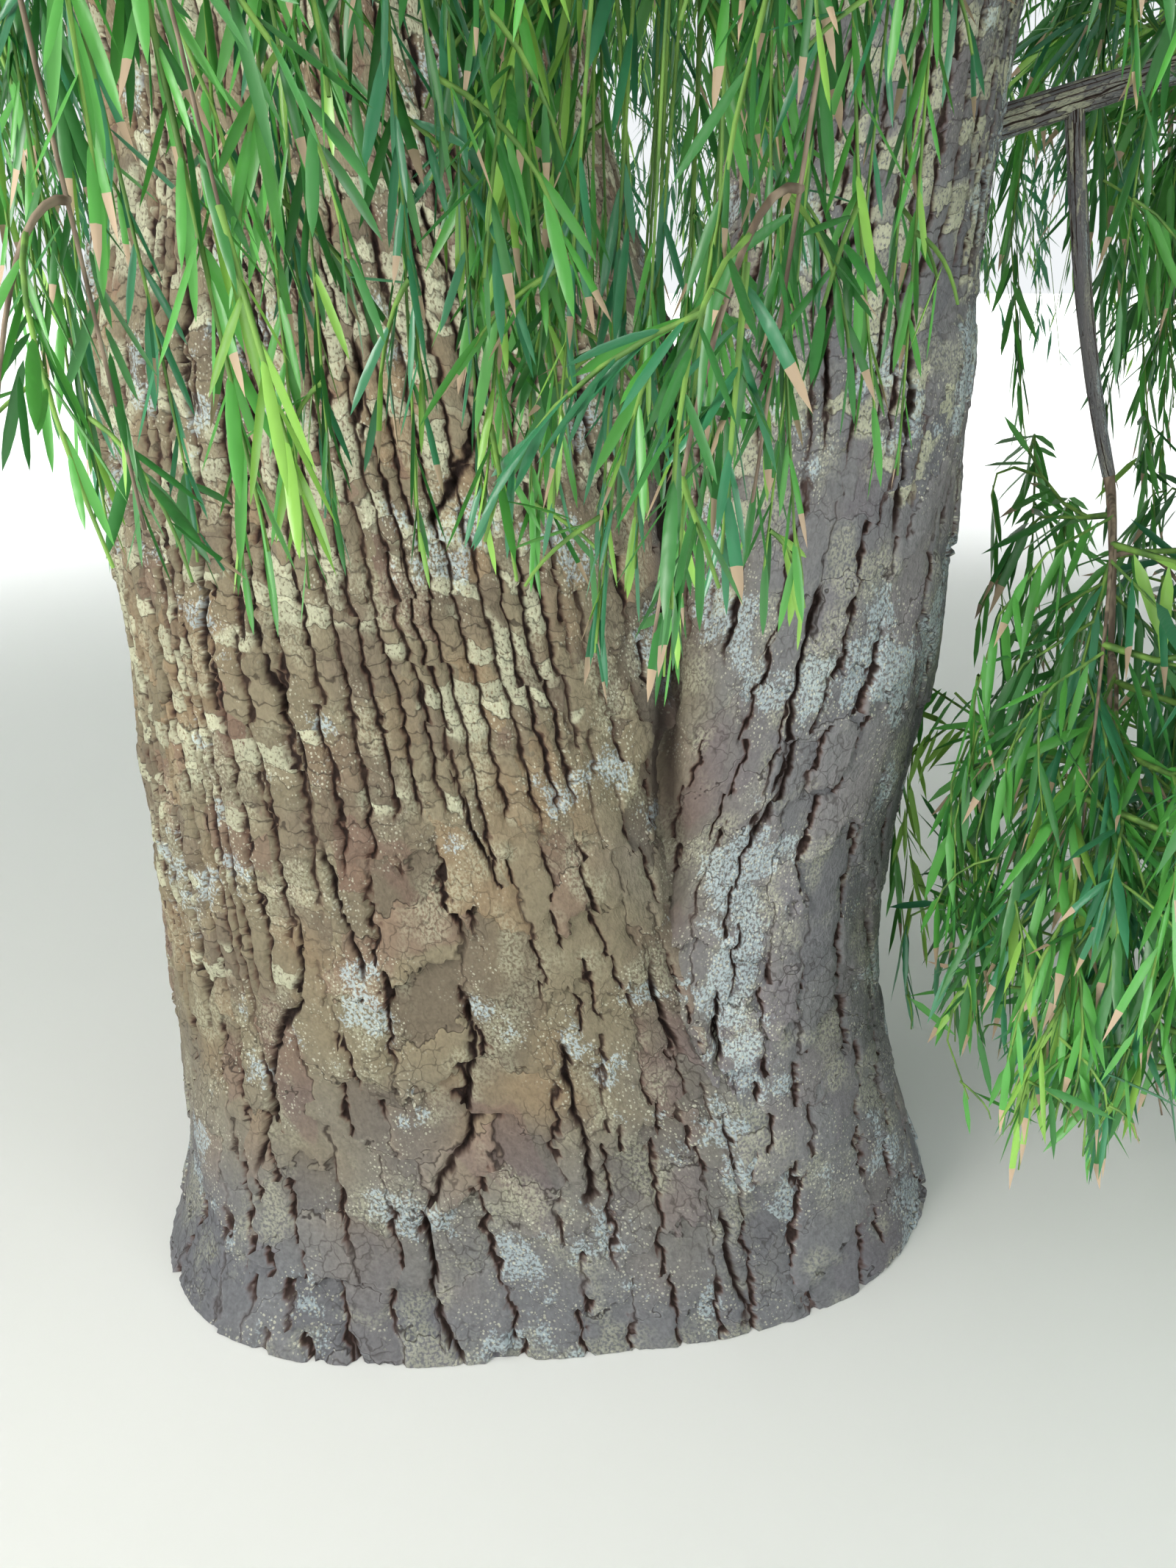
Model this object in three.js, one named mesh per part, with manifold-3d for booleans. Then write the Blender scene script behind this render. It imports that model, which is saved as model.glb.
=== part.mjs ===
// A mature african fern pine: a double trunk fused at its foot, boughs that rise and arch over,
// and weeping masses of foliage hung round an open space under the crown.
// Millimetres, +Z up, the origin at the middle of the flat cut at ground level.

import * as THREE from "three";
import { mergeVertices } from "three/addons/utils/BufferGeometryUtils.js";
import Module from "manifold-3d";

const wasm = await Module();
wasm.setup();

// Driving dimensions
const HEIGHT = 14000;
const CROWN_RADIUS = 6000;
const WIDEST_AT = 5000;
const FORK_HEIGHT = 1420;
const GAP = 0.3;
const GROWN = 0.5;
const SPACE_MARGIN = 20;
const SMOOTHED = 0.6;

// The trunk's two fused lobes, from the ground up: the middle and the half widths of each section
const LEFT_LOBE = [
  { z: 0, x: -90, y: 0, halfX: 585, halfY: 520 },
  { z: 250, x: -130, y: 0, halfX: 545, halfY: 490 },
  { z: 600, x: -200, y: 0, halfX: 485, halfY: 455 },
  { z: 1000, x: -250, y: 0, halfX: 440, halfY: 425 },
  { z: FORK_HEIGHT, x: -285, y: 0, halfX: 403, halfY: 397 },
];
const RIGHT_LOBE = [
  { z: 0, x: 200, y: 0, halfX: 380, halfY: 440 },
  { z: 250, x: 200, y: -20, halfX: 310, halfY: 380 },
  { z: 600, x: 215, y: -60, halfX: 255, halfY: 320 },
  { z: 1000, x: 285, y: -100, halfX: 225, halfY: 260 },
  { z: FORK_HEIGHT, x: 325, y: -120, halfX: 190, halfY: 200 },
];
const LOBE_SQUARENESS = 2.4;
const LOBE_SIDES = 24;
const LOBE_STEPS = 9;

// Root flare: swellings round each lobe's foot, by their bearing in degrees
const LEFT_ROOTS = [
  { bearing: -133, size: 0.16 },
  { bearing: -82, size: 0.03 },
  { bearing: 152, size: 0.1 },
  { bearing: 96, size: 0.08 },
];
const RIGHT_ROOTS = [
  { bearing: -18, size: 0.05 },
  { bearing: 48, size: 0.12 },
];
const ROOT_HEIGHT = 210;
const ROOT_NARROWNESS = 7;

// The upright limbs: where they start, the shoulder that they bend toward, and where they end
const STEM_LEFT = {
  root: [-285, 0, FORK_HEIGHT + GAP],
  shoulder: [-917, 100, 5420],
  tip: [-550, 150, 11000],
  thick: 332,
  swelling: 68,
  thin: 48,
};
const STEM_RIGHT = {
  root: [325, -120, FORK_HEIGHT + GAP],
  shoulder: [757, -260, 5000],
  tip: [1150, -600, 10600],
  thick: 165,
  swelling: 24,
  thin: 40,
};
const LEADER_BACK = {
  from: 0.1,
  shoulder: [-100, 1650, 5000],
  tip: [250, 1150, 10800],
  thick: 185,
  thin: 40,
};
const LEADER_CLEAR_FROM = 3300;
const SWELLING_HEIGHT = 300;
const UPRIGHT_SIDES = 12;
const UPRIGHT_STEPS = 8;
const LEADER_SIDES = 10;
const BOUGH_SIDES = 6;
const BOUGH_STEPS = 4;

// Rings of foliage round the crown, from the lowest up, each mass at the tip of its own bough
const RINGS = [
  {
    name: "lower", count: 8, turn: 14, inner: 2450, tipRadius: 2600, tipHeight: 3950, tipStagger: 450,
    boughHeight: 2750, stagger: 120, boughThick: 105, floor: 900, ceiling: 4950, tailRadius: 5150,
    tailHeight: 1750,
  },
  {
    name: "middle", count: 7, turn: -12, inner: 2050, tipRadius: 2200, tipHeight: 7050, tipStagger: 480,
    boughHeight: 4700, stagger: 130, boughThick: 88, floor: 4950, ceiling: 8100, tailRadius: 5050,
    tailHeight: 5450,
  },
  {
    name: "upper", count: 5, turn: 20, inner: 1700, tipRadius: 1850, tipHeight: 9850, tipStagger: 420,
    boughHeight: 7500, stagger: 170, boughThick: 62, floor: 8100, ceiling: 10850, tailRadius: 4050,
    tailHeight: 8650,
  },
];

// How the rings' boughs and masses are shaped
const RING_WAVE = 330;
const RING_WAVES = 3;
const BOUGH_TIP_RADIUS = 48;
const BOUGH_RISE = 0.87;
const BOUGH_BEND_AT = 0.45;
const RING_MASS = { start: 1250, lift: 0.34, droop: 0.42, weep: 0.95, leafScale: 1 };
const RING_REACH = [1500, 1750];
const RING_REACH_STEP = 0.37;

// The crown's top: one mass on the tip of each upright limb
const CROWN_TOPS = [
  { name: "left", carrier: "left", bearing: 178, half: 65, tip: [-600, 80, 12670], seed: 7001 },
  { name: "right", carrier: "right", bearing: -58, half: 59, tip: [1950, -1250, 12250], seed: 7019 },
  { name: "back", carrier: "back", bearing: 57, half: 56, tip: [800, 2150, 12250], seed: 7043 },
];
const TOP_FLOOR = 10850;
const TOP_MASS = {
  twigs: 8, start: 1100, reach: 1900, lift: 0.32, droop: 0.35, weep: 0.8, leafScale: 0.9, stemScale: 1.2,
};

// Low boughs near the trunk, and the trailing masses at their tips
const LOW_BOUGHS = [
  {
    name: "front_left", carrier: "left", height: 2250, tip: [-420, -960, 2480], thick: 34, thin: 14,
    start: 130, tail: [-300, -1090, 1330], space: [[-900, -1420, 1130], [-60, -800, 2660]],
    outward: -90, reach: 330, droop: 1.15, weep: 1.6, leafScale: 0.27, seed: 9001,
  },
  {
    name: "front_right", carrier: "right", height: 2350, tip: [260, -960, 2520], thick: 30, thin: 13,
    start: 130, tail: [110, -1080, 1330], space: [[-40, -1420, 1130], [620, -800, 2680]],
    outward: -90, reach: 330, droop: 1.15, weep: 1.6, leafScale: 0.27, seed: 9013,
  },
  {
    name: "low_right", carrier: "right", height: 1600, tip: [1120, -190, 1790], thick: 24, thin: 13,
    start: 380, tail: [1950, 420, 1280], space: [[1060, -520, 820], [2350, 1300, 2500]],
    outward: 30, reach: 560, droop: 0.5, weep: 1.1, leafScale: 0.38, seed: 9029,
  },
];
const DROP_BOUGH = {
  from: 0.3, shoulder: [640, -190, 1420], tip: [700, -215, 1230], thick: 13, thin: 9,
  start: 90, tail: [760, -330, 420], space: [[570, -700, 90], [1350, 60, 1225]],
  outward: -40, reach: 330, droop: 0.8, weep: 1.5, leafScale: 0.3, seed: 9041,
};
const LOW_LIFT = 0.1;
const LOW_BEND_AT = 0.6;
const LOW_RISE = 0.85;
const LOW_STEM_SHARE = 0.9;

// Masses: how twigs and leaves are dealt out along each stem
const TWIGS = 5;
const STEM_STEPS = 4;
const TWIG_STEPS = 2;
const STEM_RADIUS = 44;
const STEM_END_RADIUS = 20;
const TWIG_RADIUS = 24;
const TWIG_END_RADIUS = 17;
const ROOT_DEPTH = 0.55;
const LEAF_CLEAR = 4;
const LEAF_LENGTH = 1400;
const LEAF_WIDTH = 430;
const LEAF_THICKNESS = 0.03;
const LEAF_BELLY = 0.36;
const LEAF_STATIONS = [0.38, 0.7];
const LEAF_SWAY = 0.7;
const LEAF_FORWARD = 0.55;
const LEAF_SIZES = [0.85, 1.1];
const LEAF_CUTS = [1, 0.8, 0.6, 0.45];
const TWIG_SPREAD = [0.08, 0.9];
const TWIG_SWING = [78, 38];
const TWIG_SWING_PLAY = 24;
const TWIG_SHORTENING = 0.62;
const TWIG_SIZES = [0.82, 1.1];
const TWIG_DROOPS = [0.3, 1.7];
const TWIG_CUTS = [1, 0.8, 0.6, 0.42];
const TWIG_BEND_AT = 0.55;
const TWIG_CHECKS = [0.3, 0.6, 0.8, 1];

const BARK = new THREE.MeshStandardMaterial({ color: 0x7d6f5c, roughness: 0.95, metalness: 0 });
const LEAVES = new THREE.MeshStandardMaterial({ color: 0x3f7d38, roughness: 0.55, metalness: 0 });

const UP = new THREE.Vector3(0, 0, 1);
const tree = new THREE.Group();

function vector([x, y, z]) {
  return new THREE.Vector3(x, y, z);
}

function radians(degrees) {
  return THREE.MathUtils.degToRad(degrees);
}

function mix(from, to, share) {
  return from + (to - from) * share;
}

// A whole number generator with the same row of numbers for the same seed
function seededRandom(seed) {
  let state = seed;
  return () => {
    state = (state * 48271) % 2147483647;
    return state / 2147483647;
  };
}

// A solid from a closed geometry, once its shared corners are merged
function solidOf(geometry) {
  geometry.deleteAttribute("normal");
  geometry.deleteAttribute("uv");
  const merged = mergeVertices(geometry);
  return new wasm.Manifold(
    new wasm.Mesh({
      numProp: 3,
      vertProperties: new Float32Array(merged.attributes.position.array),
      triVerts: new Uint32Array(merged.index.array),
    }),
  );
}

// A plain prism of rings to be bent into a limb, with no middle point in its two ends
function ringPrism(sides, steps) {
  const geometry = new THREE.CylinderGeometry(1, 1, 1, sides, steps, true, Math.PI / 2);
  const triangles = Array.from(geometry.index.array);
  const far = steps * (sides + 1);
  for (let i = 1; i < sides - 1; i += 1) {
    triangles.push(0, i, i + 1);
    triangles.push(far, far + i + 1, far + i);
  }
  geometry.setIndex(triangles);
  return geometry;
}

// The largest connected body, so that loose scraps go and sealed hollows are filled
function mainBody(solid) {
  const bodies = solid.decompose();
  return bodies.reduce((best, body) => (body.volume() > best.volume() ? body : best));
}

function addMesh(name, solid, material) {
  const mesh = mainBody(solid).getMesh();
  const geometry = new THREE.BufferGeometry();
  geometry.setAttribute("position", new THREE.BufferAttribute(mesh.vertProperties, 3));
  geometry.setIndex(new THREE.BufferAttribute(mesh.triVerts, 1));
  const part = new THREE.Mesh(geometry, material);
  part.name = name;
  tree.add(part);
}

// Smooth values between the keyed sections of a lobe
function sectionAt(keys, z) {
  const last = keys.length - 1;
  let i = 0;
  while (i < last - 1 && z > keys[i + 1].z) i += 1;
  const [a, b] = [keys[i], keys[i + 1]];
  const [before, after] = [keys[Math.max(i - 1, 0)], keys[Math.min(i + 2, last)]];
  const span = b.z - a.z;
  const share = (z - a.z) / span;
  const section = {};
  for (const field of ["x", "y", "halfX", "halfY"]) {
    const slopeA = ((b[field] - before[field]) / (b.z - before.z)) * span;
    const slopeB = ((after[field] - a[field]) / (after.z - a.z)) * span;
    section[field] =
      (2 * share ** 3 - 3 * share ** 2 + 1) * a[field] +
      (share ** 3 - 2 * share ** 2 + share) * slopeA +
      (3 * share ** 2 - 2 * share ** 3) * b[field] +
      (share ** 3 - share ** 2) * slopeB;
  }
  return section;
}

function flareAt(roots, angle, z) {
  let flare = 1;
  for (const root of roots) {
    const facing = Math.max(Math.cos(angle - radians(root.bearing)), 0);
    flare += root.size * facing ** ROOT_NARROWNESS * Math.exp(-z / ROOT_HEIGHT);
  }
  return flare;
}

// One lobe of the trunk: rounded-square sections stacked from the ground to the fork
function trunkLobe(keys, roots) {
  const geometry = new THREE.CylinderGeometry(1, 1, 1, LOBE_SIDES, LOBE_STEPS);
  const places = geometry.attributes.position;
  for (let i = 0; i < places.count; i += 1) {
    const across = places.getX(i);
    const along = places.getZ(i);
    const share = (places.getY(i) + 0.5) ** 1.25;
    const z = share * FORK_HEIGHT;
    const section = sectionAt(keys, z);
    const angle = Math.atan2(-along, across);
    const reach = Math.hypot(across, along) * flareAt(roots, angle, z);
    const corner =
      Math.abs(Math.cos(angle)) ** LOBE_SQUARENESS + Math.abs(Math.sin(angle)) ** LOBE_SQUARENESS;
    const radius = reach / corner ** (1 / LOBE_SQUARENESS);
    places.setXYZ(
      i,
      section.x + radius * section.halfX * Math.cos(angle),
      section.y + radius * section.halfY * Math.sin(angle),
      z,
    );
  }
  return solidOf(geometry);
}

function bend(root, shoulder, tip) {
  return new THREE.QuadraticBezierCurve3(root, shoulder, tip);
}

// A place on a limb's faceted middle line, which cuts the corners of its bend
function onLimb(curve, steps, share) {
  const step = Math.min(Math.floor(share * steps), steps - 1);
  const from = curve.getPoint(step / steps);
  const to = curve.getPoint((step + 1) / steps);
  return { point: from.clone().lerp(to, share * steps - step), forward: to.sub(from).normalize() };
}

// A tapering limb along a bend, its rings square to the bend, or level on an upright limb
function limb(curve, radiusAt, sides, steps, level = false) {
  const first = curve.v1.clone().sub(curve.v0);
  const last = curve.v2.clone().sub(curve.v1);
  const flat = first.clone().cross(last);
  if (flat.length() < 1e-3 * first.length() * last.length()) flat.crossVectors(first, UP);
  const across = level ? new THREE.Vector3(0, 1, 0) : flat.normalize();
  const geometry = ringPrism(sides, steps);
  const places = geometry.attributes.position;
  for (let i = 0; i < places.count; i += 1) {
    const share = places.getY(i) + 0.5;
    const forward = level ? UP : curve.getTangent(share);
    const side = forward.clone().cross(across);
    const radius = radiusAt(share);
    const point = curve.getPoint(share);
    point.addScaledVector(side, places.getX(i) * radius);
    point.addScaledVector(across, places.getZ(i) * radius);
    places.setXYZ(i, point.x, point.y, point.z);
  }
  return solidOf(geometry);
}

function taper(thick, thin) {
  return (share) => mix(thick, thin, share ** 0.8);
}

function uprightRadius(stem) {
  const tall = stem.tip[2] - stem.root[2];
  return (share) => {
    const swelling = stem.swelling * Math.exp((-share * tall) / SWELLING_HEIGHT);
    return mix(stem.thick, stem.thin, share) + swelling;
  };
}

function crownRadius(z) {
  if (z < WIDEST_AT) return CROWN_RADIUS * (1 - 0.07 * ((WIDEST_AT - z) / WIDEST_AT) ** 2);
  const rise = Math.min((z - WIDEST_AT) / (HEIGHT - WIDEST_AT), 1);
  return CROWN_RADIUS * (1 - rise ** 2) ** 0.72;
}

// The wavy level between two rings of foliage
function waveAt(level, azimuth) {
  return level + RING_WAVE * Math.cos(RING_WAVES * azimuth + level);
}

// The space of one mass: a sector of the crown between two wavy levels
function sectorSpace({ middle, half, inner, floor, ceiling }) {
  return (point) => {
    const radius = Math.hypot(point.x, point.y);
    const azimuth = Math.atan2(point.y, point.x);
    const turned = azimuth - middle;
    const off = Math.abs(Math.atan2(Math.sin(turned), Math.cos(turned)));
    const low = floor === undefined ? 0 : waveAt(floor, azimuth) + SPACE_MARGIN;
    const high = ceiling === undefined ? HEIGHT : waveAt(ceiling, azimuth) - SPACE_MARGIN;
    const wall = off < half ? radius * Math.sin(Math.min(half - off, Math.PI / 2)) : -1;
    const within = radius >= inner && radius <= crownRadius(point.z) && wall > SPACE_MARGIN;
    return within && point.z > low && point.z <= high;
  };
}

function boxSpace(low, high) {
  const box = new THREE.Box3(vector(low), vector(high));
  return (point) => box.containsPoint(point);
}

// A lance-shaped blade of eight faces that stands for a spray of leaves
function leaf(base, heading, facing, length, width) {
  const side = facing.clone().addScaledVector(heading, -facing.dot(heading)).normalize();
  const face = heading.clone().cross(side);
  const geometry = new THREE.OctahedronGeometry(1);
  const places = geometry.attributes.position;
  for (let i = 0; i < places.count; i += 1) {
    const along = places.getX(i) > 0.5 ? 1 : places.getX(i) < -0.5 ? 0 : LEAF_BELLY;
    const point = base.clone().addScaledVector(heading, along * length);
    point.addScaledVector(side, (places.getY(i) * width) / 2);
    point.addScaledVector(face, (places.getZ(i) * length * LEAF_THICKNESS) / 2);
    places.setXYZ(i, point.x, point.y, point.z);
  }
  return solidOf(geometry);
}

function leafFits(space, base, heading, facing, length, width) {
  const belly = base.clone().addScaledVector(heading, length * LEAF_BELLY);
  const checks = [base.clone().addScaledVector(heading, length)];
  for (const hand of [-0.5, 0.5]) checks.push(belly.clone().addScaledVector(facing, hand * width));
  return checks.every(space);
}

// One mass: a stem that arches over, twigs on alternate hands that droop, and hanging leaves
function growMass(plan) {
  const random = seededRandom(plan.seed);
  const scale = plan.leafScale;
  const stemCurve = bend(plan.root, plan.shoulder, plan.tip);
  const stemTaper = taper(STEM_RADIUS * plan.stemScale, STEM_END_RADIUS * scale);
  const twigs = [limb(stemCurve, stemTaper, 3, STEM_STEPS)];
  const leaves = [];

  // A leaf is cut shorter until it keeps to the space and off the rest of the mass
  function addLeaf(base, heading, facing, grow, carrier) {
    const side = facing.clone().addScaledVector(heading, -facing.dot(heading)).normalize();
    const others = leaves.concat(twigs.filter((twig) => twig !== carrier));
    for (const cut of LEAF_CUTS) {
      const length = LEAF_LENGTH * scale * grow * cut;
      const width = LEAF_WIDTH * scale * grow * cut;
      if (!leafFits(plan.space, base, heading, side, length, width)) continue;
      const blade = leaf(base, heading, side, length, width);
      if (!others.every((other) => blade.minGap(other, 2 * LEAF_CLEAR) > LEAF_CLEAR)) continue;
      leaves.push(blade);
      return;
    }
  }

  function hang(forward) {
    const heading = forward.clone().multiplyScalar(LEAF_FORWARD);
    heading.addScaledVector(UP, -plan.weep);
    heading.x += (random() - 0.5) * LEAF_SWAY;
    heading.y += (random() - 0.5) * LEAF_SWAY;
    return heading.normalize();
  }

  // A leaf's foot is sunk to the far side of the twig that carries it
  function foot({ point, forward }, radius) {
    const over = new THREE.Vector3(-forward.x * forward.z, -forward.y * forward.z, 1 - forward.z ** 2);
    return point.addScaledVector(over.normalize(), ROOT_DEPTH * radius);
  }

  function addTwig(share, hand) {
    const { point: base, forward } = onLimb(stemCurve, STEM_STEPS, share);
    const out = new THREE.Vector3(forward.x, forward.y, 0);
    if (out.length() < 0.2) out.copy(plan.outward);
    const swing = radians(mix(...TWIG_SWING, share) + (random() - 0.5) * TWIG_SWING_PLAY);
    out.normalize().applyAxisAngle(UP, hand * swing);
    const reach = plan.reach * mix(1, TWIG_SHORTENING, share) * mix(...TWIG_SIZES, random());
    const droop = plan.droop * mix(...TWIG_DROOPS, random());
    for (const cut of TWIG_CUTS) {
      const tip = base.clone().addScaledVector(out, reach * cut);
      tip.addScaledVector(UP, -droop * reach * cut);
      const shoulder = base.clone().addScaledVector(out, reach * cut * TWIG_BEND_AT);
      shoulder.addScaledVector(UP, reach * cut * plan.lift);
      const curve = bend(base, shoulder, tip);
      const fits = TWIG_CHECKS.every((at) => plan.space(curve.getPoint(at)));
      if (!fits) continue;
      const twig = limb(curve, taper(TWIG_RADIUS * scale, TWIG_END_RADIUS * scale), 3, TWIG_STEPS);
      twigs.push(twig);
      for (const station of LEAF_STATIONS) {
        const place = onLimb(curve, TWIG_STEPS, station);
        const heading = hang(place.forward);
        const facing = new THREE.Vector3(random() - 0.5, random() - 0.5, 0.1).normalize();
        addLeaf(foot(place, TWIG_RADIUS * scale), heading, facing, mix(...LEAF_SIZES, random()), twig);
      }
      const end = onLimb(curve, TWIG_STEPS, 1);
      const last = end.point.addScaledVector(end.forward, -TWIG_END_RADIUS * scale);
      const facing = new THREE.Vector3(-out.y, out.x, 0.3);
      addLeaf(last, end.forward, facing, mix(...LEAF_SIZES, random()), twig);
      return;
    }
  }

  const count = plan.twigs ?? TWIGS;
  for (let i = 0; i < count; i += 1) addTwig(mix(...TWIG_SPREAD, i / (count - 1)), i % 2 ? 1 : -1);
  const end = onLimb(stemCurve, STEM_STEPS, 1);
  const last = end.point.addScaledVector(end.forward, -STEM_END_RADIUS * scale);
  addLeaf(last, end.forward, new THREE.Vector3(-end.forward.y, end.forward.x, 0.3), 1, twigs[0]);
  return [...twigs, ...leaves].reduce((whole, solid) => whole.add(solid)).simplify(SMOOTHED);
}

// Trunk and upright limbs

const trunk = trunkLobe(LEFT_LOBE, LEFT_ROOTS).add(trunkLobe(RIGHT_LOBE, RIGHT_ROOTS));
addMesh("trunk", trunk.simplify(SMOOTHED), BARK);

function upright(stem) {
  const curve = bend(vector(stem.root), vector(stem.shoulder), vector(stem.tip));
  const radiusAt = uprightRadius(stem);
  return {
    curve,
    radiusAt,
    solid: limb(curve, radiusAt, UPRIGHT_SIDES, UPRIGHT_STEPS, true),
    grown: limb(curve, (share) => radiusAt(share) + GROWN, UPRIGHT_SIDES, UPRIGHT_STEPS, true),
  };
}

const carriers = { left: upright(STEM_LEFT), right: upright(STEM_RIGHT) };
addMesh("stem_left", carriers.left.solid, BARK);
addMesh("stem_right", carriers.right.solid, BARK);

function bough(carrier, from, shoulder, tip, thick, thin, sides = BOUGH_SIDES, steps = BOUGH_STEPS) {
  const curve = bend(carrier.curve.getPoint(from), shoulder, tip);
  const radiusAt = taper(thick, thin);
  return {
    curve,
    radiusAt,
    solid: limb(curve, radiusAt, sides, steps).subtract(carrier.grown),
    grown: limb(curve, (share) => radiusAt(share) + GROWN, sides, steps),
  };
}

carriers.back = bough(
  carriers.left,
  LEADER_BACK.from,
  vector(LEADER_BACK.shoulder),
  vector(LEADER_BACK.tip),
  LEADER_BACK.thick,
  LEADER_BACK.thin,
  LEADER_SIDES,
  UPRIGHT_STEPS,
);
addMesh("leader_back", carriers.back.solid, BARK);

// The share of a carrier's length at which it passes a height
function shareAt(carrier, z) {
  let [low, high] = [0, 1];
  for (let i = 0; i < 24; i += 1) {
    const share = (low + high) / 2;
    if (carrier.curve.getPoint(share).z < z) low = share;
    else high = share;
  }
  return low;
}

// The upright limb that stands nearest to a bough's tip at the height where it leaves
function nearestCarrier(tip, z) {
  const standing = [carriers.left, carriers.right];
  if (z > LEADER_CLEAR_FROM) standing.push(carriers.back);
  let best = null;
  for (const carrier of standing) {
    const point = carrier.curve.getPoint(shareAt(carrier, z));
    const away = Math.hypot(point.x - tip.x, point.y - tip.y);
    if (!best || away < best.away) best = { carrier, away };
  }
  return best.carrier;
}

// The mass at a limb's tip starts where the limb ends, and goes on the way that it points
function massAtTip(carrier, plan) {
  const forward = carrier.curve.getTangent(1);
  const root = carrier.curve.getPoint(1).addScaledVector(plan.upright ? UP : forward, GAP);
  const step = plan.upright ? UP : forward;
  const shoulder = root.clone().addScaledVector(step, plan.start);
  return growMass({ ...plan, root, shoulder, stemScale: plan.stemScale ?? 1 });
}

function bearing(azimuth) {
  return new THREE.Vector3(Math.cos(azimuth), Math.sin(azimuth), 0);
}

// The crown's rings

RINGS.forEach((ring, level) => {
  const half = Math.PI / ring.count;
  for (let i = 0; i < ring.count; i += 1) {
    const middle = radians(ring.turn) + (2 * Math.PI * i) / ring.count;
    const outward = bearing(middle);
    const tipHeight = ring.tipHeight + ring.tipStagger * (i % 2);
    const boughTip = outward.clone().multiplyScalar(ring.tipRadius).setZ(tipHeight);
    const leaves = ring.boughHeight + ring.stagger * ((i * 3) % ring.count);
    const carrier = nearestCarrier(boughTip, leaves);
    const from = shareAt(carrier, leaves);
    const start = carrier.curve.getPoint(from);
    const shoulder = start.clone().lerp(boughTip, BOUGH_BEND_AT).setZ(mix(start.z, boughTip.z, BOUGH_RISE));
    const limbHere = bough(carrier, from, shoulder, boughTip, ring.boughThick, BOUGH_TIP_RADIUS);
    addMesh(`bough_${ring.name}_${i + 1}`, limbHere.solid, BARK);

    const tail = outward.clone().multiplyScalar(ring.tailRadius).setZ(ring.tailHeight);
    const mass = massAtTip(limbHere, {
      ...RING_MASS,
      seed: 101 + 37 * i + 1009 * level,
      space: sectorSpace({ middle, half, inner: ring.inner, floor: ring.floor, ceiling: ring.ceiling }),
      tip: tail,
      outward,
      reach: mix(...RING_REACH, (i * RING_REACH_STEP) % 1),
    });
    addMesh(`foliage_${ring.name}_${i + 1}`, mass, LEAVES);
  }
});

for (const top of CROWN_TOPS) {
  const middle = radians(top.bearing);
  const mass = massAtTip(carriers[top.carrier], {
    ...TOP_MASS,
    seed: top.seed,
    space: sectorSpace({ middle, half: radians(top.half), inner: 0, floor: TOP_FLOOR }),
    upright: top.carrier !== "back",
    tip: vector(top.tip),
    outward: bearing(middle),
  });
  addMesh(`foliage_top_${top.name}`, mass, LEAVES);
}

function hangingMass(carrier, plan) {
  return massAtTip(carrier, {
    seed: plan.seed,
    space: boxSpace(...plan.space),
    start: plan.start,
    tip: vector(plan.tail),
    outward: bearing(radians(plan.outward)),
    reach: plan.reach,
    lift: LOW_LIFT,
    droop: plan.droop,
    weep: plan.weep,
    leafScale: plan.leafScale,
    stemScale: (plan.thin / STEM_RADIUS) * LOW_STEM_SHARE,
  });
}

const lowBoughs = {};
for (const plan of LOW_BOUGHS) {
  const carrier = carriers[plan.carrier];
  const from = shareAt(carrier, plan.height);
  const start = carrier.curve.getPoint(from);
  const tip = vector(plan.tip);
  const shoulder = start.clone().lerp(tip, LOW_BEND_AT).setZ(mix(start.z, tip.z, LOW_RISE));
  lowBoughs[plan.name] = bough(carrier, from, shoulder, tip, plan.thick, plan.thin);
  addMesh(`bough_${plan.name}`, lowBoughs[plan.name].solid, BARK);
  addMesh(`foliage_${plan.name}`, hangingMass(lowBoughs[plan.name], plan), LEAVES);
}

const dropBough = bough(
  lowBoughs.low_right,
  DROP_BOUGH.from,
  vector(DROP_BOUGH.shoulder),
  vector(DROP_BOUGH.tip),
  DROP_BOUGH.thick,
  DROP_BOUGH.thin,
);
addMesh("bough_drop_right", dropBough.solid, BARK);
addMesh("foliage_drop_right", hangingMass(dropBough, DROP_BOUGH), LEAVES);

export default tree;
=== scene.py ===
"""A mature african fern pine: flaky bark with its relief, boughs, and weeping sprays of narrow leaves."""

import math

import bpy
import numpy as np
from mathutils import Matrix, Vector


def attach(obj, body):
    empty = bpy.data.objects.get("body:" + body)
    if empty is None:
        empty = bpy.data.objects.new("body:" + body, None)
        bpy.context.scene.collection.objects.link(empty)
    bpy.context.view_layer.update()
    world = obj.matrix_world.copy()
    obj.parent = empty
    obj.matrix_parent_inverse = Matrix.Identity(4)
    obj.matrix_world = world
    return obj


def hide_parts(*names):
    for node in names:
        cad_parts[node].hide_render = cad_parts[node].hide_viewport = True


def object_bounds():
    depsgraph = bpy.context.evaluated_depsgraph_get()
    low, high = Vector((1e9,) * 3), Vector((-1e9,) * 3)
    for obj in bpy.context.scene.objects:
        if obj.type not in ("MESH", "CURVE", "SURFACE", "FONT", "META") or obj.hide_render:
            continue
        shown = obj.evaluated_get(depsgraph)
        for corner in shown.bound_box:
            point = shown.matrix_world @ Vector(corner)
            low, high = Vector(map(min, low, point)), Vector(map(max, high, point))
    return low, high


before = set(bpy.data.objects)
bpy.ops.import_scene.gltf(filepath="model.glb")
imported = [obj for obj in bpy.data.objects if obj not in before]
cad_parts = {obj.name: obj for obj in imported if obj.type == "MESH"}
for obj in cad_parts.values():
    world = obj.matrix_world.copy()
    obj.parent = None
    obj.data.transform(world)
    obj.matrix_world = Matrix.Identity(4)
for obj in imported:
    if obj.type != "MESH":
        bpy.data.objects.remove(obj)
cad_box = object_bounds()

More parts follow.
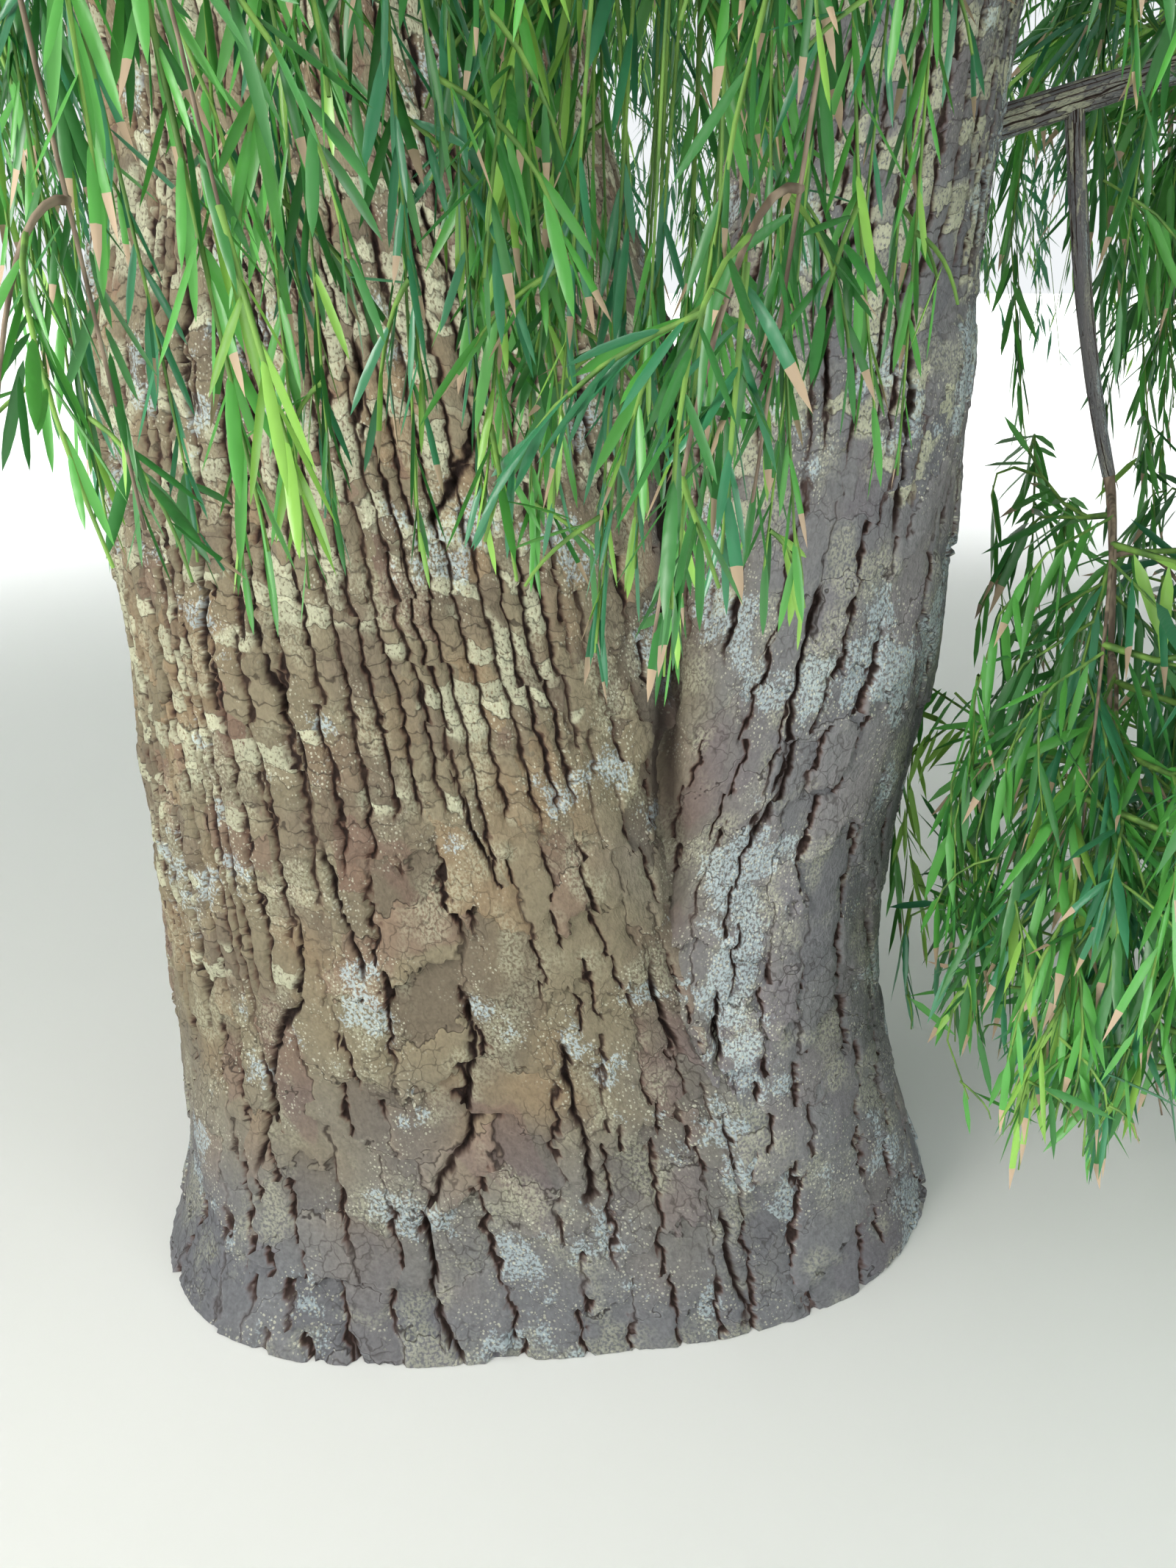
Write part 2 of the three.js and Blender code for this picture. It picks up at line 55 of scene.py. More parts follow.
# The photograph's viewpoint, in its own pixels and in metres
IMAGE_WIDTH = 1600
IMAGE_HEIGHT = 2133
FOCAL_PIXELS = 1727
SENSOR = 36
EYE = np.array([0, -1.95, 1.5])
LOOK_DOWN = math.radians(22.5)

# The crown and the trunk's two fused lobes, in metres: each section's height, middle and half widths
HEIGHT = 14.0
CROWN_RADIUS = 6.0
WIDEST_AT = 5.0
CROWN_TUCK = 0.07
CROWN_POWER = 0.72
FORK_HEIGHT = 1.42
GAP = 0.0003
SPACE_MARGIN = 0.02
LOBE_SQUARENESS = 2.4
ROUND_FROM = 1.3
ROUND_TO = 1.65
ROOT_HEIGHT = 0.21
ROOT_NARROWNESS = 7
SWELLING_HEIGHT = 0.3
LOBES = {
    "left": {
        "keys": [
            (0, -0.09, 0, 0.585, 0.52),
            (0.25, -0.13, 0, 0.545, 0.49),
            (0.6, -0.2, 0, 0.485, 0.455),
            (1.0, -0.25, 0, 0.44, 0.425),
            (FORK_HEIGHT, -0.285, 0, 0.403, 0.397),
        ],
        "roots": [(-133, 0.16), (-82, 0.03), (152, 0.1), (96, 0.08)],
        "seam": 0,
        "girth": 0.46,
        "bark_from": 3,
        "columns": 560,
        "kept_faces": 190000,
        "stem_columns": 90,
    },
    "right": {
        "keys": [
            (0, 0.2, 0, 0.38, 0.44),
            (0.25, 0.2, -0.02, 0.31, 0.38),
            (0.6, 0.215, -0.06, 0.255, 0.32),
            (1.0, 0.285, -0.1, 0.225, 0.26),
            (FORK_HEIGHT, 0.325, -0.12, 0.19, 0.2),
        ],
        "roots": [(-18, 0.05), (48, 0.12)],
        "seam": 165,
        "girth": 0.26,
        "bark_from": 11,
        "columns": 330,
        "kept_faces": 90000,
        "stem_columns": 56,
    },
}

# The upright limbs, each along a bend from its root by its shoulder to its tip
STEMS = {
    "left": {
        "root": (-0.285, 0, FORK_HEIGHT + GAP), "shoulder": (-0.917, 0.1, 5.42), "tip": (-0.55, 0.15, 11.0),
        "thick": 0.332, "swelling": 0.068, "thin": 0.048,
    },
    "right": {
        "root": (0.325, -0.12, FORK_HEIGHT + GAP), "shoulder": (0.757, -0.26, 5.0), "tip": (1.15, -0.6, 10.6),
        "thick": 0.165, "swelling": 0.024, "thin": 0.04,
    },
}
LEADER_BACK = {
    "from": 0.1, "shoulder": (-0.1, 1.65, 5.0), "tip": (0.25, 1.15, 10.8), "thick": 0.185, "thin": 0.04,
}
LEADER_CLEAR_FROM = 3.3

# Rings of foliage round the crown, each mass at the tip of its own bough
RINGS = [
    {
        "name": "lower", "groups": 3, "count": 8, "turn": 14,
        "inner": 2.45, "floor": 0.9, "ceiling": 4.95, "hang": 0,
        "tip_radius": 2.6, "tip_height": 3.95, "tip_stagger": 0.45, "tail_radius": 5.15, "tail_height": 1.75,
        "bough_height": 2.75, "bough_stagger": 0.12, "bough_thick": 0.105,
    },
    {
        "name": "middle", "groups": 3, "count": 7, "turn": -12,
        "inner": 2.05, "floor": 4.95, "ceiling": 8.1, "hang": 2.3,
        "tip_radius": 2.2, "tip_height": 7.05, "tip_stagger": 0.48, "tail_radius": 5.05, "tail_height": 5.45,
        "bough_height": 4.7, "bough_stagger": 0.13, "bough_thick": 0.088,
    },
    {
        "name": "upper", "groups": 2, "count": 5, "turn": 20,
        "inner": 1.7, "floor": 8.1, "ceiling": 10.85, "hang": 2.5,
        "tip_radius": 1.85, "tip_height": 9.85, "tip_stagger": 0.42, "tail_radius": 4.05, "tail_height": 8.65,
        "bough_height": 7.5, "bough_stagger": 0.17, "bough_thick": 0.062,
    },
]
RING_WAVE = 0.33
RING_WAVES = 3
RING_WAVE_STEP = 1000
BOUGH_TIP_RADIUS = 0.048
BOUGH_RISE = 0.87
BOUGH_BEND_AT = 0.45
RING_MASS = {"start": 1.25, "lift": 0.34, "droop": 0.42, "weep": 0.95, "scale": 1}
RING_REACH = (1.5, 1.75)
RING_REACH_STEP = 0.37
CROWN_TOPS = [
    {"name": "left", "bearing": 178, "half": 65, "tip": (-0.6, 0.08, 12.67), "seed": 7001},
    {"name": "right", "bearing": -58, "half": 59, "tip": (1.95, -1.25, 12.25), "seed": 7019},
    {"name": "back", "bearing": 57, "half": 56, "tip": (0.8, 2.15, 12.25), "seed": 7043},
]
TOP_FLOOR = 10.85
TOP_GROUPS = 2
TOP_MASS = {
    "twigs": 8, "start": 1.1, "reach": 1.9, "lift": 0.32, "droop": 0.35, "weep": 0.8, "scale": 0.9,
    "stem_scale": 1.2,
}

# How far the finest growth goes past its mass's own space: in radians sideways, and else in metres
WIDER_BY = 0.12
INNER_BY = 1.1
HIGHER_BY = 0.9
TOP_HANG = 2.4
# How near that growth comes to the crown's outline, as a share, and to the sides of the source's box
FINE_KEEP = 0.952
BOX_MARGIN = 0.05

# Low boughs near the trunk, with the small hanging masses at their tips: the space of each mass, and the
# corners that its finest growth may reach
FRONT_MASS = {"start": 0.13, "outward": -90, "reach": 0.33, "droop": 1.15, "weep": 1.6, "scale": 0.27}
LOW_BOUGHS = [
    {
        **FRONT_MASS, "name": "front_left", "seed": 9001, "carrier": "left", "height": 2.25,
        "tip": (-0.42, -0.96, 2.48), "thick": 0.034, "thin": 0.014, "tail": (-0.3, -1.09, 1.33), "shoots": 18,
        "space": ((-0.9, -1.42, 1.13), (-0.06, -0.8, 2.66)),
        "near_space": ((-0.98, -1.46, 1.13), (0.02, -0.74, 2.72)),
    },
    {
        **FRONT_MASS, "name": "front_right", "seed": 9013, "carrier": "right", "height": 2.35,
        "tip": (0.26, -0.96, 2.52), "thick": 0.03, "thin": 0.013, "tail": (0.11, -1.08, 1.33), "shoots": 52,
        "space": ((-0.04, -1.42, 1.13), (0.62, -0.8, 2.68)),
        "near_space": ((-0.12, -1.46, 1.13), (0.7, -0.74, 2.72)),
    },
    {
        "name": "low_right", "seed": 9029, "carrier": "right", "height": 1.6, "tip": (1.12, -0.19, 1.79),
        "thick": 0.024, "thin": 0.013, "tail": (1.95, 0.42, 1.28), "twigs_on_bough": 9, "start": 0.38,
        "outward": 30, "reach": 0.56, "droop": 0.5, "weep": 1.1, "scale": 0.38,
        "space": ((1.06, -0.52, 0.82), (2.35, 1.3, 2.5)),
        "near_space": ((0.58, -0.62, 0.8), (2.35, 1.5, 2.5)),
    },
]
DROP_BOUGH = {
    "name": "drop_right", "seed": 9041, "from": 0.3, "shoulder": (0.64, -0.19, 1.42),
    "tip": (0.7, -0.215, 1.23), "thick": 0.013, "thin": 0.009, "tail": (0.76, -0.33, 0.42),
    "twigs_on_bough": 6, "start": 0.09,
    "outward": -40, "reach": 0.33, "droop": 0.8, "weep": 1.5, "scale": 0.3,
    "space": ((0.57, -0.7, 0.09), (1.35, 0.06, 1.225)),
    "near_space": ((0.49, -0.74, 0.1), (1.45, 0.6, 1.3)),
}
LOW_LIFT = 0.1
LOW_BEND_AT = 0.6
LOW_RISE = 0.85
LOW_STEM_SHARE = 0.9

# The source's rule for a mass: twigs along its stem, and hanging sprays along each twig
TWIGS = 5
STEM_STEPS = 4
TWIG_STEPS = 2
STEM_RADIUS = 0.044
STEM_END_RADIUS = 0.02
TWIG_RADIUS = 0.024
TWIG_END_RADIUS = 0.017
SPRAY_RADIUS = 0.007
SPRAY_END_RADIUS = 0.003
SPRAY_LENGTH = 1.4
SPRAY_STATIONS = (0.38, 0.7)
SPRAY_SWAY = 0.7
SPRAY_FORWARD = 0.55
SPRAY_SIZES = (0.85, 1.1)
TWIG_SPREAD = (0.08, 0.9)
TWIG_SWING = (78, 38)
TWIG_SWING_PLAY = 24
TWIG_SHORTENING = 0.62
TWIG_SIZES = (0.82, 1.1)
TWIG_DROOPS = (0.3, 1.7)
TWIG_CUTS = (1, 0.8, 0.6, 0.42)
SPRAY_CUTS = (1, 0.8, 0.6, 0.4)
TWIG_BEND_AT = 0.55
TWIG_CHECKS = (0.3, 0.6, 0.8, 1)
BRANCH_CHECKS = (0.4, 0.7, 1.0)
BRANCH_SIZES = (0.7, 1.2)
BRANCH_DROOPS = (0.5, 1.4)
BRANCH_LEAD = 0.3
STEEP = 0.25
# How much thinner the visual model's stems, twigs and tips are than the source's
STEM_TIP_SHARE = 0.6
TWIG_SHARE = 0.8
TWIG_TIP_SHARE = 0.35

# The hem of the front curtain, as the pixels where its hanging tips end in the photograph
HEM_TIPS = [
    (148, 787), (270, 787), (334, 873), (421, 863), (459, 792), (571, 812), (658, 766), (724, 797),
    (810, 950), (912, 960), (966, 827), (1037, 858), (1086, 884), (1193, 663), (1221, 709),
]
HEM_SIDES = [(-200, 560), (60, 690), (1262, 560), (1420, 250)]
HEM_NOTCH = 62
HEM_OVERHANG = 12
# Where the curtain's other shoots end: a share of them in its thick middle and the rest between its sides,
# how far above the hem, and how far from the eye
CURTAIN_MIDDLE = (830, 150)
CURTAIN_MIDDLE_SHARE = 0.45
CURTAIN_SIDES = (-120, 1240)
CURTAIN_EDGE = 1.4
CURTAIN_DEPTH = 620
CURTAIN_AWAY = (0.82, 1.12)
HEM_AWAY = (0.95, 0.06)
# How the curtain's shoots bend: along to their shoulders sideways and down, the play there, and their radii
CURTAIN_BEND = np.array([0.9, 0.9, 0.3])
CURTAIN_PLAY = np.array([1, 0.6, 0.6])
CURTAIN_BEND_PLAY = 0.045
CURTAIN_RADII = (0.0026, 0.001)
# The lowest place on the twigs from which such a shoot hangs
LOWEST_FOOT = 1.72
# The lower edge of the growth at the right, and how far it is torn
RIGHT_TIPS = [
    (1120, 640), (1190, 1340), (1250, 1500), (1310, 1588), (1382, 1665), (1433, 1665), (1514, 1639),
    (1900, 1560),
]
RAGGED = 75
RAGGED_WAVES = (13, 31)
# The open place beside the trunk: its right end, top and bottom
BRIGHT_GAP = (1325, 560, 930)
# The open place in the fork: its middle and its half widths, and the waves of what still hangs across it
FORK_LIGHT = ((890, 215), (115, 190))
FORK_WAVES = (9, 14)
FORK_SHARE = -0.6

# Bark: how deep each kind of mark goes, in metres
FISSURE_DEPTH = 0.0105
CREVICE_DEPTH = 0.016
CRACK_DEPTH = 0.0024
CHIP_DEPTH = 0.002
SCALE_DEPTH = 0.0012
SEAM_DEPTH = 0.014
# How far blocks and plates stand out unevenly, and how much the whole surface rolls and how rough it is
FLAKE_RISE = 0.0085
SHINGLE_RISE = 0.0042
BLOCK_BEND = 0.004
BLOCK_RISE = 0.0055
LUMP_RISE = 0.03
GRAIN_RISE = 0.004
# How many rows of small blocks and of wide plates fit in a metre, and how many times those are cut across
NARROW_ROWS = 32
WIDE_ROWS = 16
SHORT_CUTS = 46
LONG_CUTS = 10
DEEP_ROWS = 7.5
BARK_TOP = 2.0
ROW_STEP = 0.0055
STEM_ROWS = 190
STEM_ROW_POWER = 1.35
CULL_DEPTH = 0.03
# How dense a lobe's columns are on the side turned away, and how far from its seam the relief fades out
FAR_DENSITY = 0.5
LOBE_CLOSING = 0.12
LIMB_CLOSING = 0.5
# Where the two lobes meet: the hollow between them is filled near the ground, and a seam starts above
BLEND_WIDTH = 0.16
BLEND_TOP = 0.75
SEAM_WIDTH = 0.022
SEAM_STARTS = (0.5, 0.85)
# Where on the bark's pattern the boughs lie, and how they get its relief by their girth
LIMB_BARK_FROM = 20
LIMB_BARK_STEP = 3
LIMB_BARK_SCALE = 1.4
LIMB_BARK_LEAST = 0.05
FULL_RELIEF_RADIUS = 0.25
LEAST_RELIEF = 0.12
LEADER_RELIEF = 0.8
BOUGH_RELIEF = 0.45
# How many sides the limbs' tubes have, and how long a step is in metres
LEADER_GRID = (48, 0.05)
BOUGH_GRID = (17, 0.06)
LOW_GRID = (13, 0.02)

# How limbs and twigs thin out along their length
TAPER = 0.8
UP = np.array([0.0, 0.0, 1.0])


# Small helpers


def mix(low, high, share):
    return low + (high - low) * share


def smooth(value, low, high):
    share = np.clip((np.asarray(value, float) - low) / (high - low), 0, 1)
    return share * share * (3 - 2 * share)


def unit(vectors):
    return vectors / np.maximum(np.linalg.norm(vectors, axis=-1, keepdims=True), 1e-9)


def bearing(azimuth):
    return np.array([math.cos(azimuth), math.sin(azimuth), 0.0])


def turned(vectors, angles):
    """Vectors turned about the upright by an angle each."""
    cos, sin = np.cos(angles), np.sin(angles)
    x, y = vectors[..., 0], vectors[..., 1]
    return np.stack([x * cos - y * sin, x * sin + y * cos, vectors[..., 2]], -1)


def srgb(red, green, blue):
    """A colour given as 0 to 255 on the screen, in the linear values that the shader takes."""
    shares = np.array([red, green, blue]) / 255
    linear = np.where(shares <= 0.04045, shares / 12.92, ((shares + 0.055) / 1.055) ** 2.4)
    return (*linear.tolist(), 1.0)


def seeded_random(seed):
    """The source's whole number generator, so that the twigs fall where its twigs are."""
    state = seed

    def draw():
        nonlocal state
        state = (state * 48271) % 2147483647
        return state / 2147483647

    return draw


def eye_ray(px, py):
    """How far right, forward and down the eye's ray through a pixel goes."""
    x = (px - IMAGE_WIDTH / 2) / FOCAL_PIXELS
    y = (py - IMAGE_HEIGHT / 2) / FOCAL_PIXELS
    forward = math.cos(LOOK_DOWN) - math.sin(LOOK_DOWN) * y
    down = math.sin(LOOK_DOWN) + math.cos(LOOK_DOWN) * y
    return x, forward, down


def seen_at(px, py, away):
    """The place that the photograph shows at a pixel, that far in front of the eye."""
    x, forward, down = eye_ray(px, py)
    reach = away / forward
    return np.array([x * reach, EYE[1] + away, EYE[2] - down * reach])


def pixel_of(points):
    """The pixels at which the photograph shows some points."""
    offset = points - EYE
    cos, sin = math.cos(LOOK_DOWN), math.sin(LOOK_DOWN)
    depth = np.maximum(offset[..., 1] * cos - offset[..., 2] * sin, 0.05)
    drop = -offset[..., 1] * sin - offset[..., 2] * cos
    px = IMAGE_WIDTH / 2 + FOCAL_PIXELS * offset[..., 0] / depth
    py = IMAGE_HEIGHT / 2 + FOCAL_PIXELS * drop / depth
    return px, py


# Curves


class Bends:
    """A set of quadratic curves, each with a radius at both ends and the tint of what grows on it."""

    FIELDS = ("root", "shoulder", "tip", "thick", "thin", "tint")

    def __init__(self, root, shoulder, tip, thick, thin, tint=0):
        self.root, self.shoulder, self.tip = (np.array(p, float, ndmin=2) for p in (root, shoulder, tip))
        count = len(self.root)
        self.thick = np.broadcast_to(np.asarray(thick, float), count)
        self.thin = np.broadcast_to(np.asarray(thin, float), count)
        self.tint = np.broadcast_to(np.asarray(tint, int), count)

    def __len__(self):
        return len(self.root)

    def at(self, shares):
        s = shares[..., None]
        ends = self.root[:, None] * (1 - s) ** 2 + self.tip[:, None] * s**2
        return ends + 2 * s * (1 - s) * self.shoulder[:, None]

    def along(self, shares):
        s = shares[..., None]
        first = (self.shoulder - self.root)[:, None]
        last = (self.tip - self.shoulder)[:, None]
        return unit(first * (1 - s) + last * s)

    def lengths(self):
        points = self.at(np.broadcast_to(np.linspace(0, 1, 7), (len(self), 7)))
        return np.linalg.norm(np.diff(points, axis=1), axis=2).sum(1)

    def only(self, keep):
        return Bends(*(getattr(self, field)[keep] for field in self.FIELDS))

    def changed(self, **fields):
        return Bends(**{field: getattr(self, field) for field in self.FIELDS} | fields)


def joined(*sets):
    sets = [one for one in sets if len(one)]
    return Bends(*(np.concatenate([getattr(one, field) for one in sets]) for field in Bends.FIELDS))


def point_on(curve, share):
    root, shoulder, tip = curve
    return root * (1 - share) ** 2 + 2 * share * (1 - share) * shoulder + tip * share**2


def tangent_on(curve, share):
    root, shoulder, tip = curve
    return unit((shoulder - root) * (1 - share) + (tip - shoulder) * share)


def on_limb(curve, steps, share):
    """A place on a limb's faceted middle line, as in the source, and the way that it points there."""
    step = min(int(share * steps), steps - 1)
    start, end = point_on(curve, step / steps), point_on(curve, (step + 1) / steps)
    return mix(start, end, share * steps - step), unit(end - start)


# The spaces that the masses keep to


def crown_radius(z):
    below = CROWN_RADIUS * (1 - CROWN_TUCK * ((WIDEST_AT - z) / WIDEST_AT) ** 2)
    rise = np.clip((z - WIDEST_AT) / (HEIGHT - WIDEST_AT), 0, 1)
    return np.where(z < WIDEST_AT, below, CROWN_RADIUS * (1 - rise**2) ** CROWN_POWER)


def wave_at(level, azimuth):
    return level + RING_WAVE * np.cos(RING_WAVES * azimuth + RING_WAVE_STEP * level)


def in_source_box(points):
    """Whether some points lie inside the box of the source's solids."""
    low, high = np.asarray(cad_box[0]), np.asarray(cad_box[1])
    return np.all((points >= low + BOX_MARGIN) & (points <= high - BOX_MARGIN), axis=-1)


def sector_space(middle, half, inner, floor, ceiling=None, keep=1.0):
    def inside(points):
        radius = np.hypot(points[..., 0], points[..., 1])
        azimuth = np.arctan2(points[..., 1], points[..., 0])
        off = np.abs(np.arctan2(np.sin(azimuth - middle), np.cos(azimuth - middle)))
        low = wave_at(floor, azimuth) + SPACE_MARGIN
        high = HEIGHT if ceiling is None else wave_at(ceiling, azimuth) - SPACE_MARGIN
        wall = np.where(off < half, radius * np.sin(np.clip(half - off, -1.5, 1.5)), -1)
        z = points[..., 2]
        within = (radius >= inner) & (radius <= crown_radius(z) * keep) & (wall > SPACE_MARGIN)
        if keep < 1:
            within &= in_source_box(points)
        return within & (z > low) & (z <= high)

    return inside


def box_space(low, high):
    low, high = np.asarray(low), np.asarray(high)

    def inside(points):
        return np.all((points >= low) & (points <= high), axis=-1)

    return inside


def hem_at(px):
    """The height in the picture where the front curtain ends above a pixel column."""
    ends = sorted(HEM_TIPS + HEM_SIDES)
    return np.interp(px, [x for x, _ in ends], [y for _, y in ends])


def beside_space(low, high):
    """A box beside the trunk, above its ragged lower edge and clear of the bright gap in the photograph."""
    box = box_space(low, high)
    ends = sorted(RIGHT_TIPS)

    def inside(points):
        px, py = pixel_of(points)
        edge = np.interp(px, [x for x, _ in ends], [y for _, y in ends])
        edge -= RAGGED * (1 + np.sin(px / RAGGED_WAVES[0]) * np.sin(px / RAGGED_WAVES[1] + 1))
        bright = (px < BRIGHT_GAP[0]) & (py > BRIGHT_GAP[1]) & (py < BRIGHT_GAP[2])
        return box(points) & (py < edge) & ~bright

    return inside


def curtain_space(low, high):
    """The box of a front mass above the photograph's hem, and thin where light comes through the fork."""
    box = box_space(low, high)
    (middle_x, middle_y), (half_x, half_y) = FORK_LIGHT

    def inside(points):
        px, py = pixel_of(points)
        in_fork = ((px - middle_x) / half_x) ** 2 + ((py - middle_y) / half_y) ** 2 < 1
        window = in_fork & (np.sin(px / FORK_WAVES[0]) * np.sin(py / FORK_WAVES[1]) > FORK_SHARE)
        return box(points) & (py < hem_at(px) + HEM_OVERHANG) & ~window

    return inside


# The limbs


def lobe_section(keys, z):
    """Smooth values between the keyed sections of a lobe: its middle and its half widths."""
    table = np.array(keys, float)
    last = len(table) - 1
    i = 0
    while i < last - 1 and z > table[i + 1, 0]:
        i += 1
    a, b = table[i], table[i + 1]
    before, after = table[max(i - 1, 0)], table[min(i + 2, last)]
    span = b[0] - a[0]
    share = (z - a[0]) / span
    slope_a = (b - before) / (b[0] - before[0]) * span
    slope_b = (after - a) / (after[0] - a[0]) * span
    section = (
        (2 * share**3 - 3 * share**2 + 1) * a
        + (share**3 - 2 * share**2 + share) * slope_a
        + (3 * share**2 - 2 * share**3) * b
        + (share**3 - share**2) * slope_b
    )
    return section[1:]


def flare_at(roots, angles, z):
    flare = np.ones_like(angles)
    for root_bearing, size in roots:
        facing = np.maximum(np.cos(angles - math.radians(root_bearing)), 0)
        flare += size * facing**ROOT_NARROWNESS * math.exp(-z / ROOT_HEIGHT)
    return flare


def curve_of(limb):
    return tuple(np.array(limb[key], float) for key in ("root", "shoulder", "tip"))


HALVINGS = 24


def share_at(curve, z):
    """The share of a limb's length at which it passes a height."""
    low, high = 0, 1
    for _ in range(HALVINGS):
        share = (low + high) / 2
        if point_on(curve, share)[2] < z:
            low = share
        else:
            high = share
    return low


def upright_radius(stem, share):
    tall = stem["tip"][2] - stem["root"][2]
    swelling = stem["swelling"] * np.exp(-share * tall / SWELLING_HEIGHT)
    return mix(stem["thick"], stem["thin"], share) + swelling


def section_at(side, z):
    """A trunk lobe's or its stem's middle, half widths and squareness at a height."""
    if z <= FORK_HEIGHT:
        x, y, half_x, half_y = lobe_section(LOBES[side]["keys"], z)
    else:
        curve = curve_of(STEMS[side])
        share = share_at(curve, z)
        x, y, _ = point_on(curve, share)
        half_x = half_y = upright_radius(STEMS[side], share)
    squareness = mix(LOBE_SQUARENESS, 2, smooth(z, ROUND_FROM, ROUND_TO))
    return x, y, half_x, half_y, float(squareness)


def outline_at(side, z, angles):
    """The outline of one lobe at a height, as points at some bearings round its middle."""
    x, y, half_x, half_y, squareness = section_at(side, z)
    corner = np.abs(np.cos(angles)) ** squareness + np.abs(np.sin(angles)) ** squareness
    radius = flare_at(LOBES[side]["roots"], angles, z) / corner ** (1 / squareness)
    return np.stack([x + radius * half_x * np.cos(angles), y + radius * half_y * np.sin(angles)], -1)


def depth_inside(side, z, points):
    """How deep some points of one level lie inside a lobe's outline, less than 0 outside it."""
    x, y, half_x, half_y, squareness = section_at(side, z)
    across, along = (points[:, 0] - x) / half_x, (points[:, 1] - y) / half_y
    angles = np.arctan2(along, across)
    reach = (np.abs(across) ** squareness + np.abs(along) ** squareness) ** (1 / squareness)
    reach = reach / flare_at(LOBES[side]["roots"], angles, z)
    away = np.hypot(points[:, 0] - x, points[:, 1] - y)
    return away * (1 / np.maximum(reach, 1e-6) - 1)


# Meshes from arrays


def mesh_object(name, places, faces, materials, tints=None):
    """A smooth mesh object from arrays of places and of faces that all have the same number of corners."""
    mesh = bpy.data.meshes.new(name)
    count, corners = faces.shape
    mesh.vertices.add(len(places))
    mesh.vertices.foreach_set("co", np.ascontiguousarray(places, np.float32).ravel())
    mesh.loops.add(count * corners)
    mesh.loops.foreach_set("vertex_index", np.ascontiguousarray(faces, np.int32).ravel())
    mesh.polygons.add(count)
    mesh.polygons.foreach_set("loop_start", np.arange(0, count * corners, corners, dtype=np.int32))
    mesh.polygons.foreach_set("use_smooth", np.ones(count, bool))
    if tints is not None:
        mesh.polygons.foreach_set("material_index", np.ascontiguousarray(tints, np.int32))
    for material in materials:
        mesh.materials.append(material)
    mesh.update(calc_edges=True)
    piece = bpy.data.objects.new(name, mesh)
    bpy.context.scene.collection.objects.link(piece)
    return piece


def hand_over(piece, replaced):
    """Makes a piece ride on the tree's one body and stand for some nodes."""
    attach(piece, "root")
    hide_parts(*replaced)


def set_attribute(mesh, name, values):
    kind, field = ("FLOAT_VECTOR", "vector") if values.ndim == 2 else ("FLOAT", "value")
    attribute = mesh.attributes.new(name, kind, "POINT")
    attribute.data.foreach_set(field, np.ascontiguousarray(values, np.float32).ravel())


def grid_faces(rows, columns, wrap):
    """The quads of a grid of rows and columns, closed round its columns if it wraps."""
    row = np.arange(rows - 1)[:, None] * columns
    column = np.arange(columns if wrap else columns - 1)[None, :]
    after = (column + 1) % columns
    corners = (row + column, row + after, row + columns + after, row + columns + column)
    return np.stack(corners, -1).reshape(-1, 4)


# Node building, for shader and geometry trees alike


class Value:
    """An output of a node, on which the signs of arithmetic add nodes."""

    def __init__(self, nodes, socket):
        self.nodes = nodes
        self.socket = socket

    def __add__(self, other):
        return self.nodes.math("ADD", self, other)

    def __radd__(self, other):
        return self.nodes.math("ADD", other, self)

    def __sub__(self, other):
        return self.nodes.math("SUBTRACT", self, other)

    def __rsub__(self, other):
        return self.nodes.math("SUBTRACT", other, self)

    def __mul__(self, other):
        return self.nodes.math("MULTIPLY", self, other)

    def __truediv__(self, number):
        return self * (1 / number)


